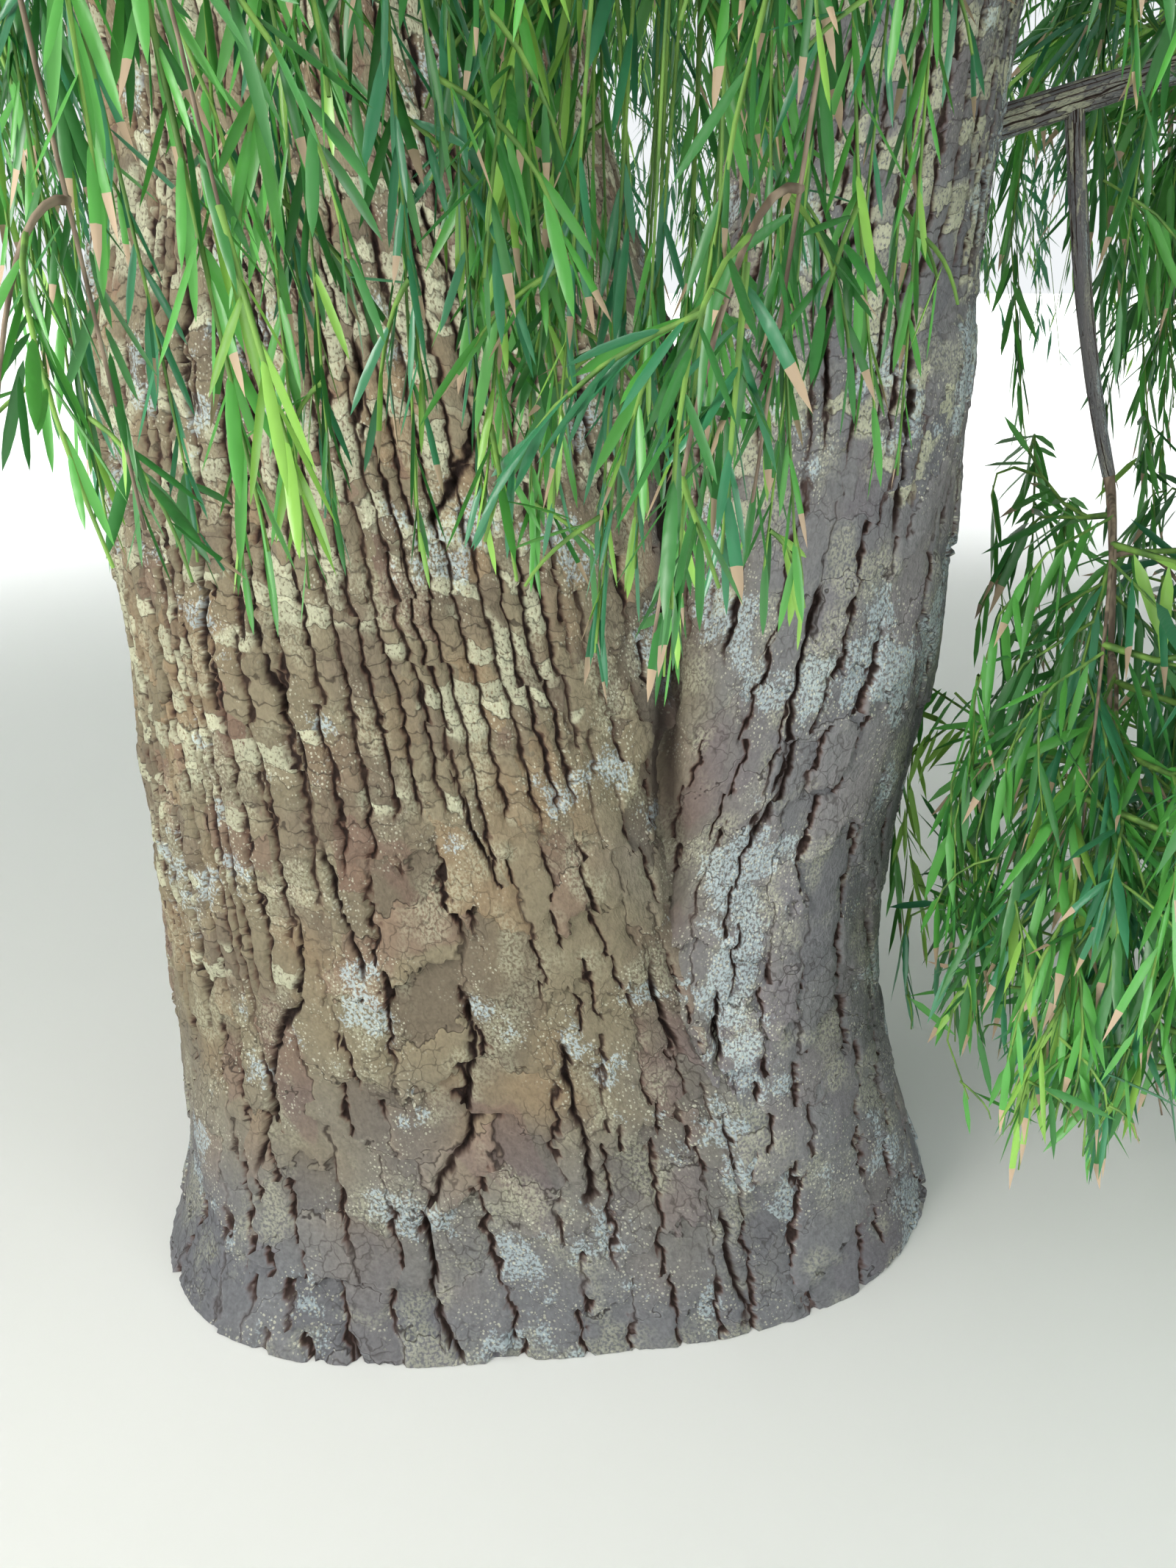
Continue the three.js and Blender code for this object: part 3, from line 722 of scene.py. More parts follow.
class Nodes:
    def __init__(self, tree):
        self.tree = tree

    def feed(self, socket, value):
        if isinstance(value, Value):
            self.tree.links.new(value.socket, socket)
        else:
            socket.default_value = value

    def add(self, kind, inputs=None, **settings):
        node = self.tree.nodes.new(kind)
        for name, value in settings.items():
            setattr(node, name, value)
        for key, value in (inputs or {}).items():
            self.feed(node.inputs[key], value)
        return node

    def value(self, kind, inputs=None, output=0, **settings):
        return Value(self, self.add(kind, inputs, **settings).outputs[output])

    def values(self, kind, inputs, **settings):
        """All outputs of a new node, by their names."""
        return {socket.name: Value(self, socket) for socket in self.add(kind, inputs, **settings).outputs}

    def math(self, operation, first, second):
        return self.value("ShaderNodeMath", {0: first, 1: second}, operation=operation)

    def most(self, first, *others):
        for other in others:
            first = self.math("MAXIMUM", first, other)
        return first

    def vector_math(self, operation, *vectors):
        return self.value("ShaderNodeVectorMath", dict(enumerate(vectors)), operation=operation)

    def shrunk(self, vector, share):
        return self.value("ShaderNodeVectorMath", {0: vector, "Scale": share}, operation="SCALE")

    def split(self, vector):
        return list(self.values("ShaderNodeSeparateXYZ", {0: vector}).values())

    def moved(self, vector, scale, seed=0):
        """Flat coordinates stretched along both axes, and moved to a part of the pattern of their own."""
        return self.vector_math("MULTIPLY_ADD", vector, (*scale, 0), (13.7 * seed, 7.9 * seed, 0))

    def noise(self, vector, scale, seed, detail=0.0, roughness=0.5):
        """Fractal noise from about 0 to 1, on flat coordinates stretched by a scale for each axis."""
        where = self.moved(vector, scale, seed)
        inputs = {"Vector": where, "Scale": 1.0, "Detail": detail, "Roughness": roughness}
        return self.value("ShaderNodeTexNoise", inputs, noise_dimensions="2D")

    def solid_noise(self, vector, scale, detail):
        inputs = {"Vector": self.vector_math("MULTIPLY", vector, scale), "Scale": 1.0, "Detail": detail}
        return self.value("ShaderNodeTexNoise", inputs)

    def voronoi(self, where, dimensions="2D", feature="F1"):
        """Uneven cells of a surface, or of a line where there is one dimension."""
        inputs = {"W" if dimensions == "1D" else "Vector": where, "Scale": 1.0}
        return self.values("ShaderNodeTexVoronoi", inputs, voronoi_dimensions=dimensions, feature=feature)

    def rows(self, value):
        """A line cut into uneven rows: how near the cut is, the row's middle and its random numbers."""
        cells = self.voronoi(value, "1D")
        edges = self.voronoi(value, "1D", "DISTANCE_TO_EDGE")
        return edges["Distance"], cells["W"], self.split(cells["Color"])

    def ramp(self, value, low, high, start=0.0, end=1.0):
        inputs = {"Value": value, "From Min": low, "From Max": high, "To Min": start, "To Max": end}
        return self.value("ShaderNodeMapRange", inputs, interpolation_type="SMOOTHSTEP")

    def fade(self, value, low, high):
        return self.ramp(value, low, high, 1.0, 0.0)

    def bump(self, height, distance, strength):
        return self.value("ShaderNodeBump", {"Height": height, "Distance": distance, "Strength": strength})

    def blend(self, share, first, second):
        """One colour over another."""
        return self.value("ShaderNodeMix", {0: share, 6: first, 7: second}, 2, data_type="RGBA")


def bark_pattern(n, place, where):
    """The plates and fissures at a place on the bark (round the limb and up it), in metres."""
    round_limb, up_limb, _ = n.split(place)
    world_x, _, world_z = n.split(where)

    # Rows of small square blocks high on the left of the trunk, and wider flakes below
    blocky = n.ramp(world_z + world_x * -0.75 + n.noise(place, (3, 3), 1) * 0.7, 1.2, 1.5)
    flaky = 1.0 - blocky

    # Rows run up the trunk, sway a little and step aside: narrow ones of blocks, and wider ones of plates
    sway = n.noise(place, (3.1, 1.3), 2)
    jag = n.noise(place, (46, 34), 3, detail=2.0)
    fray = n.noise(place, (38, 40), 4, detail=2.0)
    shift = n.split(n.voronoi(n.moved(place, (11, 14), 5))["Color"])
    side_step = shift[0] * n.ramp(blocky, 0.0, 1.0, 0.75, 0.3)
    across = round_limb * NARROW_ROWS + sway * 3.4 + jag * 0.62 + side_step
    row_edge, row_middle, row = n.rows(across)
    off_middle = across - row_middle
    wide_across = round_limb * WIDE_ROWS + sway * 2.1 + jag * 0.42 + shift[1] * 0.5
    wide_edge, wide_middle, wide_row = n.rows(wide_across)
    off_wide = wide_across - wide_middle

    # Fissures open here and there between the rows, and a few deep crevices run across everything
    side_gap = row_edge * blocky / NARROW_ROWS + wide_edge * flaky / WIDE_ROWS
    open_share = n.most(n.ramp(n.noise(place, (15, 6.5), 6), 0.36, 0.5, 0.12, 1.0), blocky * 0.85)
    fissure = n.fade(side_gap, 0.0014, 0.0058) * open_share
    # The fissure's narrow middle line is painted shade, dark where its hollow lies in shadow
    fissure_shade_line = n.fade(side_gap, 0.001, 0.0036) * open_share
    sweep = n.noise(place, (2.2, 1.7), 7, detail=1.0)
    deep_edge, _, _ = n.rows(round_limb * DEEP_ROWS + sweep * 1.9 + jag * 0.16 + shift[1] * 0.1)
    crevice = n.fade(deep_edge, 0.008, 0.05) * n.ramp(n.noise(place, (6, 3.2), 8), 0.53, 0.6)

    # Blocks and plates are cut across their row, and plates stand up at their lower edge
    slant = off_middle * (row[1] - 0.5) * 1.4
    block_edge, _, block = n.rows(up_limb * SHORT_CUTS + row[0] * 57 + slant + fray * 1.5)
    crack = n.fade(block_edge, 0.02, 0.12) * n.ramp(block[2], 0.2, 0.65, 0.12, 1.0) * blocky
    tilt = off_wide * (wide_row[1] - 0.5) * 1.6
    plate_along = up_limb * LONG_CUTS + wide_row[0] * 41 + tilt + fray * 0.62
    plate_end, plate_middle, flake = n.rows(plate_along)
    flake_gap = n.math("MINIMUM", wide_edge / WIDE_ROWS, plate_end / LONG_CUTS)
    chip = n.fade(flake_gap, 0.0004, 0.0022) * n.ramp(flake[2], 0.1, 0.5, 0.35, 1.0) * flaky
    # A painted highlight on each plate, just inside the gap round it
    painted_rim_highlight = n.ramp(flake_gap, 0.0022, 0.0034) * n.ramp(flake_gap, 0.0075, 0.0045) * flaky

    # Small scales with cracks between them, in patches
    warp = n.value("ShaderNodeCombineXYZ", {0: jag * 1.5, 1: fray * 1.3})
    scale_place = n.vector_math("ADD", n.moved(place, (60, 42), 10), warp)
    scale_edge = n.voronoi(scale_place, feature="DISTANCE_TO_EDGE")["Distance"]
    scaly = n.ramp(n.noise(place, (9, 7), 11, detail=1.0), 0.46, 0.6)
    scale_crack = n.fade(scale_edge, 0.0, 0.09) * scaly * n.ramp(blocky, 0.0, 1.0, 1.0, 0.55)

    lumps = n.noise(place, (6, 4), 12, detail=1.0)
    grain = n.noise(place, (130, 80), 13, detail=2.0, roughness=0.62)
    height = (
        fissure * -FISSURE_DEPTH
        + crevice * -CREVICE_DEPTH
        + crack * -CRACK_DEPTH
        + chip * -CHIP_DEPTH
        + scale_crack * -SCALE_DEPTH
        + (flake[0] - 0.5) * flaky * FLAKE_RISE
        + (plate_along - plate_middle) * flaky * -SHINGLE_RISE
        + off_middle * off_middle * blocky * -BLOCK_BEND
        + (block[0] - 0.5) * blocky * BLOCK_RISE
        + (lumps - 0.5) * LUMP_RISE
        + (grain - 0.5) * GRAIN_RISE
    )
    # Painted shade: the fissures' middle lines, the crevices, the cracks between blocks and the fine gaps
    # round flakes and scales are darkened where their hollows lie in shadow
    fine_crack_shade = n.most(chip, scale_crack * 0.7) * 0.72
    dark = n.most(fissure_shade_line * 0.96, crevice, crack * 0.66, fine_crack_shade)
    return {
        "height": height, "dark": dark, "floor": n.most(fissure, crevice), "painted_rim_highlight": painted_rim_highlight, "flake": flake,
        "block": block, "blocky": blocky, "flaky": flaky, "grain": grain,
    }


def relief_tree():
    """Geometry nodes that push a limb's surface in and out by the bark's pattern."""
    tree = bpy.data.node_groups.new("bark_relief", "GeometryNodeTree")
    for way in ("INPUT", "OUTPUT"):
        tree.interface.new_socket("Geometry", in_out=way, socket_type="NodeSocketGeometry")
    n = Nodes(tree)

    def stored(name, kind):
        return n.value("GeometryNodeInputNamedAttribute", {"Name": name}, "Attribute", data_type=kind)

    where = n.value("GeometryNodeInputPosition")
    pattern = bark_pattern(n, stored("bark_place", "FLOAT_VECTOR"), where)
    push = pattern["height"] * stored("bark_depth", "FLOAT") - stored("bark_seam", "FLOAT") * SEAM_DEPTH
    offset = n.shrunk(stored("bark_out", "FLOAT_VECTOR"), push)
    source, result = n.value("NodeGroupInput"), n.add("NodeGroupOutput")
    n.feed(result.inputs[0], n.value("GeometryNodeSetPosition", {"Geometry": source, "Offset": offset}))
    return tree


RELIEF = relief_tree()


def with_relief(piece, places, outward, depth, seam, kept_faces=None):
    """Stores where each point is on the bark, applies the relief, and thins flat stretches out."""
    mesh = piece.data
    fields = {"bark_place": places, "bark_out": outward, "bark_depth": depth, "bark_seam": seam}
    for name, values in fields.items():
        set_attribute(mesh, name, values)
    relief = piece.modifiers.new("relief", "NODES")
    relief.node_group = RELIEF
    triangles = 2 * len(mesh.polygons)
    if kept_faces and triangles > kept_faces:
        thinner = piece.modifiers.new("thinner", "DECIMATE")
        thinner.ratio = kept_faces / triangles
    graph = bpy.context.evaluated_depsgraph_get()
    shaped = piece.evaluated_get(graph)
    made = bpy.data.meshes.new_from_object(shaped, preserve_all_data_layers=True, depsgraph=graph)
    piece.modifiers.clear()
    piece.data = made
    for name in ("bark_out", "bark_depth"):
        made.attributes.remove(made.attributes[name])
    heights = np.zeros(len(made.vertices) * 3, np.float32)
    made.vertices.foreach_get("co", heights)
    heights[2::3] = np.maximum(heights[2::3], 0)
    made.vertices.foreach_set("co", heights)
    made.polygons.foreach_set("use_smooth", np.ones(len(made.polygons), bool))
    made.update()


# Materials


def new_material(name):
    material = bpy.data.materials.new(name)
    material.use_nodes = True
    return material, Nodes(material.node_tree), material.node_tree.nodes["Principled BSDF"]


def bark_material(name, tone):
    """Flaky bark: brown plates with grey, golden and reddish ones among them, and lichen; fissures, cracks
    and the lobes' seam are darkened with painted shade, plate rims carry a painted highlight, and the grey to
    the right is partly painted cool shade.
    """
    material, n, shader = new_material(name)
    place = n.value("ShaderNodeAttribute", output="Vector", attribute_name="bark_place")
    seam = n.value("ShaderNodeAttribute", output="Fac", attribute_name="bark_seam")
    where = n.value("ShaderNodeTexCoord", output="Object")
    p = bark_pattern(n, place, where)
    world_x, _, world_z = n.split(where)
    flake, block, blocky, grain = p["flake"], p["block"], p["blocky"], p["grain"]

    # Olive, golden and umber flakes, with reddish ones where the outer bark has fallen off
    patch = n.noise(place, (6, 4.5), 21, detail=2.0)
    fleck = n.noise(place, (260, 200), 22, detail=1.0, roughness=0.6)
    inner = n.noise(place, (7, 4), 23, detail=2.0)
    golden = n.ramp(flake[1] * 0.6 + patch * 0.7, 0.6, 0.9)
    umber = n.ramp(flake[0] * 0.6 + patch * 0.7, 0.6, 0.4)
    reddish = n.ramp(inner * 0.7 + flake[2] * 0.4, 0.7, 0.73)
    # Greyer towards the right: partly the bark's own grey, partly painted cool shade of that side
    right = n.ramp(world_x + patch * 0.25, 0.12, 0.4)
    foot = n.ramp(world_z + patch * 0.25, 0.62, 0.16)

    # A thin pale film in patches, and blocks wholly covered by pale lichen among the small ones
    film = n.ramp(n.noise(place, (11, 8), 24, detail=2.0, roughness=0.62), 0.5, 0.68)
    cluster = n.noise(place, (7, 9), 25, detail=1.0)
    higher = n.ramp(world_z, 0.7, 1.5, 0.0, 0.1)
    covered = block[1] * 0.55 + blocky * 0.25 + cluster * 0.6 + higher
    crust = n.ramp(covered, 0.98, 1.03) * n.ramp(fleck, 0.26, 0.46)

    # Blue-grey patches with a torn edge, thickest on the right, and pale specks all round them
    frost_field = n.noise(place, (7, 6), 26, detail=3.0, roughness=0.62) + right * 0.045
    frost = n.ramp(frost_field + fleck * 0.12 + grain * 0.1, 0.73, 0.78) * n.ramp(fleck, 0.34, 0.56)
    specks = n.voronoi(n.moved(place, (210, 170), 27))
    speck_edge = specks["Distance"] + fleck * 0.5 + n.split(specks["Color"])[0] * 0.42
    dotted = n.ramp(speck_edge, 0.62, 0.5) * n.ramp(frost_field, 0.47, 0.58)

    colour = tone["olive"]
    for share, cover in (
        (golden * 0.8, "golden"),
        (umber * 0.62, "umber"),
        (reddish * 0.4, "red"),
        (n.most(right * 0.7, foot * 0.75), "grey"),
        (film * n.ramp(fleck, 0.34, 0.6) * 0.42, "crust"),
        (crust * 0.78, "crust"),
        (frost * 0.68, "frost"),
        (dotted * 0.6, "speck"),
    ):
        colour = n.blend(share, colour, tone[cover])

    # Random lightness per block and per plate, plus the painted highlight on the plates' rims
    uneven = block[2] * blocky * 0.26 + flake[0] * p["flaky"] * 0.18 + p["painted_rim_highlight"] * 0.14
    # Darker towards the bottom of the trunk
    lower_darkening = n.ramp(world_z + patch * 0.3, 0.15, 0.75, -0.23, 0.0)
    shade = 0.56 + fleck * 0.38 + grain * 0.42 + uneven + lower_darkening
    floored = n.blend(p["floor"] * 0.85, n.shrunk(colour, shade), tone["floor"])
    # Painted shade: the dark of the fissures and cracks, and the crease where the two lobes meet
    dark = n.most(p["dark"], seam * 0.85)
    n.feed(shader.inputs["Base Color"], n.blend(dark, floored, tone["dark"]))
    n.feed(shader.inputs["Roughness"], 0.75 + fleck * 0.3)
    n.feed(shader.inputs["Specular IOR Level"], 0.25)
    n.feed(shader.inputs["Normal"], n.bump(grain * 0.003 + fleck * 0.0014, 1.0, 0.7))
    return material


TRUNK_TONE = {
    "olive": srgb(114, 105, 86),
    "golden": srgb(126, 108, 85),
    "umber": srgb(94, 83, 72),
    "red": srgb(108, 81, 74),
    # The grey of the right lobe, partly its own and partly painted cool shade of that side, also used towards
    # the foot
    "grey": srgb(102, 105, 113),
    "crust": srgb(166, 166, 142),
    "frost": srgb(158, 171, 174),
    "speck": srgb(190, 188, 168),
    "floor": srgb(82, 54, 44),
    # The colour of the painted shade in fissures, cracks and the lobes' seam
    "dark": srgb(34, 24, 20),
}


def leaf_material(name, colour, roughness=0.36):
    """A waxy leaf: a plain colour of its own, with fine lengthwise unevenness in its gloss."""
    material, n, shader = new_material(name)
    n.feed(shader.inputs["Base Color"], colour)
    n.feed(shader.inputs["Roughness"], roughness)
    n.feed(shader.inputs["Specular IOR Level"], 0.55)
    uneven = n.solid_noise(n.value("ShaderNodeTexCoord", output="Object"), (190, 190, 70), detail=0.0)
    n.feed(shader.inputs["Normal"], n.bump(uneven, 0.0012, 0.35))
    return material


def twig_material(name, light, dark, scale):
    material, n, shader = new_material(name)
    where = n.value("ShaderNodeTexCoord", output="Object")
    fleck = n.solid_noise(where, (scale, scale, scale / 3), detail=1.0)
    n.feed(shader.inputs["Base Color"], n.blend(n.ramp(fleck, 0.35, 0.65), dark, light))
    n.feed(shader.inputs["Roughness"], 0.55 + fleck * 0.35)
    n.feed(shader.inputs["Normal"], n.bump(fleck, 0.002, 1.0))
    return material


BARK = bark_material("flaky_bark", TRUNK_TONE)
LEAF_TINTS = [
    leaf_material("leaf_deep", srgb(52, 114, 52)),
    leaf_material("leaf_green", srgb(78, 150, 62)),
    leaf_material("leaf_bluish", srgb(56, 124, 84), 0.3),
    leaf_material("leaf_fresh", srgb(134, 182, 78)),
    leaf_material("leaf_dry_tip", srgb(176, 152, 126), 0.6),
]
FRESH, DRY = 3, 4
TINT_SHARES = [0.34, 0.42, 0.18, 0.06]
WOOD = twig_material("twig_wood", srgb(142, 124, 106), srgb(92, 76, 62), 90)
GREEN_WOOD = twig_material("twig_green", srgb(118, 156, 70), srgb(84, 120, 54), 60)


# Bark pieces


def column_angles(side, count):
    """Bearings round a lobe, closer together on the side that faces the eye."""
    dense = np.linspace(0, 2 * math.pi, 2000)
    facing = np.cos(dense + math.radians(LOBES[side]["seam"]) + math.pi / 2)
    weight = np.cumsum(mix(FAR_DENSITY, 1.0, smooth(facing, -0.35, 0.35)))
    weight = (weight - weight[0]) / (weight[-1] - weight[0])
    return np.interp(np.linspace(0, 1, count), weight, dense)


def off_seam(angles, width):
    """How much relief there is round a limb: none where its first and last columns meet."""
    return smooth(np.minimum(angles, 2 * math.pi - angles), 0, width)


def lobe_rows(side, heights, angles):
    """The rings of a lobe and its stem: places, level outward directions, and how much seam there is."""
    other = "right" if side == "left" else "left"
    bearings = angles + math.radians(LOBES[side]["seam"])
    places, outward, seams, inside = [], [], [], []
    for z in heights:
        ring = outline_at(side, z, bearings)
        step = np.roll(ring, -1, 0) - np.roll(ring, 1, 0)
        step[0] = step[-1] = ring[1] - ring[-2]
        out = unit(np.stack([step[:, 1], -step[:, 0]], -1))
        depth = depth_inside(other, z, ring)
        blend = BLEND_WIDTH * (1 - smooth(z, 0, BLEND_TOP))
        if blend > 0:
            ring = ring + out * (np.maximum(blend - np.abs(depth), 0) ** 2 / (4 * blend))[:, None]
        seams.append(np.exp(-((depth / SEAM_WIDTH) ** 2)) * smooth(z, *SEAM_STARTS))
        inside.append(depth)
        places.append(np.column_stack([ring, np.full(len(ring), z)]))
        outward.append(np.column_stack([out, np.zeros(len(ring))]))
    return np.array(places), np.array(outward), np.array(seams), np.array(inside)


def bark_of_lobe(side, name, heights, columns, replaced, kept_faces=None):
    """One lobe of the trunk, or its stem, without what lies deep inside the other lobe."""
    lobe = LOBES[side]
    angles = column_angles(side, columns)
    places, outward, seams, inside = lobe_rows(side, heights, angles)
    rows = len(heights)
    faces = grid_faces(rows, columns, wrap=False)
    covered = inside.reshape(-1) > CULL_DEPTH
    faces = faces[~covered[faces].all(axis=1)]
    used = np.unique(faces)
    renumber = np.full(rows * columns, -1)
    renumber[used] = np.arange(len(used))
    bark_place = np.zeros((rows, columns, 3))
    bark_place[..., 0] = angles * lobe["girth"] + lobe["bark_from"]
    bark_place[..., 1] = np.asarray(heights)[:, None]
    closing = off_seam(angles, LOBE_CLOSING)
    girth = np.array([section_at(side, z)[2] for z in heights])
    depth = closing[None, :] * np.clip(girth / lobe["girth"], 0.25, 1)[:, None]
    places, bark_place, outward = (values.reshape(-1, 3)[used] for values in (places, bark_place, outward))
    depth, seams = (values.reshape(-1)[used] for values in (depth, seams))
    piece = mesh_object(name, places, renumber[faces], [BARK])
    with_relief(piece, bark_place, outward, depth, seams, kept_faces)
    hand_over(piece, replaced)


def bark_of_limbs(name, limbs, grid, relief=BOUGH_RELIEF):
    """Boughs in one piece: a round tube for each, with the relief scaled to its girth."""
    sides, step = grid
    angles = np.linspace(0, 2 * math.pi, sides)
    closing = off_seam(angles, LIMB_CLOSING)
    parts, start = [], 0
    for number, (curve, radius_at) in enumerate(limbs.values()):
        bend = Bends(*curve, 0, 0)
        length = bend.lengths()[0]
        rows = max(int(length / step), 6)
        shares = np.linspace(0, 1, rows)
        points, forward = bend.at(shares[None])[0], bend.along(shares[None])[0]
        across = unit(np.cross(curve[1] - curve[0], curve[2] - curve[1]))
        side = unit(np.cross(forward, across))
        out = side[:, None] * np.cos(angles)[:, None] + across * np.sin(angles)[:, None]
        radius = radius_at(shares)
        places = points[:, None] + out * radius[:, None, None]
        bark = np.zeros((rows, sides, 3))
        girth = max(radius.mean(), LIMB_BARK_LEAST) * LIMB_BARK_SCALE
        bark[..., 0] = angles * girth + (LIMB_BARK_FROM + LIMB_BARK_STEP * number)
        bark[..., 1] = (shares * length)[:, None]
        share = np.clip(radius / FULL_RELIEF_RADIUS, LEAST_RELIEF, 1)
        depth = closing[None] * share[:, None] * relief
        flat = [values.reshape(-1, 3) for values in (places, bark, out)]
        parts.append((*flat, depth.reshape(-1), grid_faces(rows, sides, wrap=False) + start))
        start += rows * sides
    places, bark, out, depth, faces = (np.concatenate(values) for values in zip(*parts))
    piece = mesh_object(name, places, faces, [BARK])
    with_relief(piece, bark, out, depth, np.zeros(len(places)))
    hand_over(piece, limbs)


def taper(thick, thin):
    return lambda share: mix(thick, thin, np.asarray(share) ** TAPER)


# Leaves


class LeafShape:
    """A lance-shaped blade: rows of two or three points across it, between its foot and its tip."""

    def __init__(self, stations, widths, columns, fold, tip_rows=0):
        hands, width = np.tile(np.linspace(-1, 1, columns), len(stations)), np.repeat(widths, columns)
        self.along = np.concatenate([[0], np.repeat(stations, columns), [1]])
        self.across = np.concatenate([[0], hands * width, [0]])
        self.lift = np.concatenate([[0], (np.abs(hands) - 0.5) * fold * width, [0]])
        last = len(self.along) - 1
        faces = [(0, 2 + i, 1 + i) for i in range(columns - 1)]
        tips = [False] * (columns - 1)
        for row in range(len(stations) - 1):
            for i in range(columns - 1):
                corner = 1 + row * columns + i
                ahead = corner + columns
                faces += [(corner, corner + 1, ahead + 1), (corner, ahead + 1, ahead)]
                tips += [row >= len(stations) - 1 - tip_rows] * 2
        faces += [(last - columns + i, last - columns + i + 1, last) for i in range(columns - 1)]
        tips += [True] * (columns - 1)
        self.faces, self.tips = np.array(faces), np.array(tips)


# How leaves stand: the turn from one to the next, its play, the play and range of their angle, and their roll
LEAF_TURN = 2.4
LEAF_TURN_PLAY = 0.35
FULL_TURN = 6.28
LEAF_ANGLE_PLAY = 0.2
LEAF_ANGLES = (0.1, 1.5)
LEAF_ROLL = 0.7
# How leaves vary in length and width, how small and close they get at a shoot's tip, and where fresh ones are
LEAF_SIZES = (0.72, 1.18)
LEAF_WIDTHS = (0.85, 1.15)
TIP_LEAF = 0.72
TIP_ANGLE = 0.45
LEAST_SAG = 0.02
FRESH_FROM = 0.8
# Ways that no shoot points
OFF_AXIS = (0.31, 0.17, 0.05)
OFF_TWIG = (0.3, 0.9, 0.1)
NEAR_LEAF = LeafShape((0.1, 0.34, 0.66, 0.84), (0.6, 0.98, 0.98, 0.66), 3, 0.34, tip_rows=1)
HALF_LEAF = LeafShape((0.26, 0.7), (0.94, 0.86), 3, 0.3)
FAR_LEAF = LeafShape((0.42,), (1.0,), 2, 0)


class Leaves:
    """Leaves as arrays: foot, axis, side, length, width, sag, tint, and whether the tip is dry."""

    def __init__(self, shape):
        self.shape = shape
        self.batches = []

    def add(self, **fields):
        self.batches.append(fields)

    def field(self, name):
        return np.concatenate([batch[name] for batch in self.batches])

    def arrays(self):
        shape = self.shape
        base, axis, side = self.field("base"), self.field("axis"), self.field("side")
        length, width, sag = self.field("length"), self.field("width"), self.field("sag")
        face = np.cross(axis, side)
        along = length[:, None] * shape.along
        places = base[:, None] + axis[:, None] * along[..., None]
        places += side[:, None] * (width[:, None] / 2 * shape.across)[..., None]
        places += face[:, None] * (width[:, None] / 2 * shape.lift)[..., None]
        places -= UP * (sag[:, None] * length[:, None] * shape.along**2)[..., None]
        count, points = places.shape[:2]
        faces = shape.faces[None] + (np.arange(count) * points)[:, None, None]
        tints = np.broadcast_to(self.field("tint")[:, None], (count, len(shape.faces))).copy()
        tints[self.field("dry")[:, None] & shape.tips[None]] = DRY
        return places.reshape(-1, 3), faces.reshape(-1, 3), tints.reshape(-1)


def leaf_piece(name, leaves, replaced):
    places, faces, tints = leaves.arrays()
    piece = mesh_object(name, places, faces, LEAF_TINTS, tints)
    hand_over(piece, replaced)


def dress(leaves, shoots, rng, space, size):
    """Leaves along some shoots, spiralling round each and turned down by their weight."""
    lengths = shoots.lengths()
    counts = np.maximum((lengths * (1 - size["bare"]) / size["spacing"]).astype(int), 2)
    order = np.arange(counts.max())[None]
    real = order < counts[:, None]
    places = order + rng.random((len(shoots), counts.max()))
    shares = np.minimum(size["bare"] + (1 - size["bare"]) * places / counts[:, None], 1)
    base, forward = shoots.at(shares), shoots.along(shares)
    around = order * LEAF_TURN + rng.random((len(shoots), 1)) * FULL_TURN
    around = around + rng.normal(0, LEAF_TURN_PLAY, shares.shape)
    reference = unit(np.cross(forward, OFF_AXIS))
    second = np.cross(forward, reference)
    lateral = reference * np.cos(around)[..., None] + second * np.sin(around)[..., None]
    angle = np.clip(rng.normal(size["angle"], LEAF_ANGLE_PLAY, shares.shape), *LEAF_ANGLES)
    angle = angle * mix(1.0, TIP_ANGLE, shares**3)
    axis = forward * np.cos(angle)[..., None] + lateral * np.sin(angle)[..., None]
    axis = unit(axis - UP * size["weight"] * rng.random(shares.shape)[..., None])
    roll = rng.normal(0, LEAF_ROLL, shares.shape)[..., None]
    flat = unit(np.cross(axis, lateral) + 1e-6)
    side = unit(flat * np.cos(roll) + np.cross(axis, flat) * np.sin(roll))
    length = size["length"] * rng.uniform(*LEAF_SIZES, shares.shape) * mix(1.0, TIP_LEAF, shares**4)
    sag = rng.uniform(LEAST_SAG, size["sag"], shares.shape)
    tip = base + axis * length[..., None] - UP * (sag * length)[..., None]
    keep = real & space(tip)
    tint = np.broadcast_to(shoots.tint[:, None], shares.shape)
    fresh = (shares > FRESH_FROM) & (rng.random(shares.shape) < size["fresh"])
    tint = np.where(fresh, FRESH, tint)
    leaves.add(
        base=base[keep],
        axis=axis[keep],
        side=side[keep],
        length=length[keep],
        width=length[keep] * size["width"] * rng.uniform(*LEAF_WIDTHS, int(keep.sum())),
        sag=sag[keep],
        tint=tint[keep],
        dry=rng.random(int(keep.sum())) < size["dry"],
    )


# Twigs


def tube_arrays(bends, sides, steps):
    count = len(bends)
    shares = np.broadcast_to(np.linspace(0, 1, steps + 1), (count, steps + 1))
    points, forward = bends.at(shares), bends.along(shares)
    flat = np.cross(bends.shoulder - bends.root, bends.tip - bends.shoulder)
    straight = np.linalg.norm(flat, axis=1) < 1e-6
    flat[straight] = np.cross((bends.tip - bends.root)[straight], OFF_TWIG)
    across = unit(flat)[:, None]
    side = unit(np.cross(forward, np.broadcast_to(across, forward.shape)))
    angles = 2 * math.pi * np.arange(sides) / sides
    ring = side[:, :, None] * np.cos(angles)[:, None] + across[:, :, None] * np.sin(angles)[:, None]
    radius = mix(bends.thick[:, None], bends.thin[:, None], shares**TAPER)
    places = points[:, :, None] + ring * radius[..., None, None]
    starts = np.arange(count) * (steps + 1) * sides
    faces = grid_faces(steps + 1, sides, wrap=True) + starts[:, None, None]
    return places.reshape(-1, 3), faces.reshape(-1, 4)


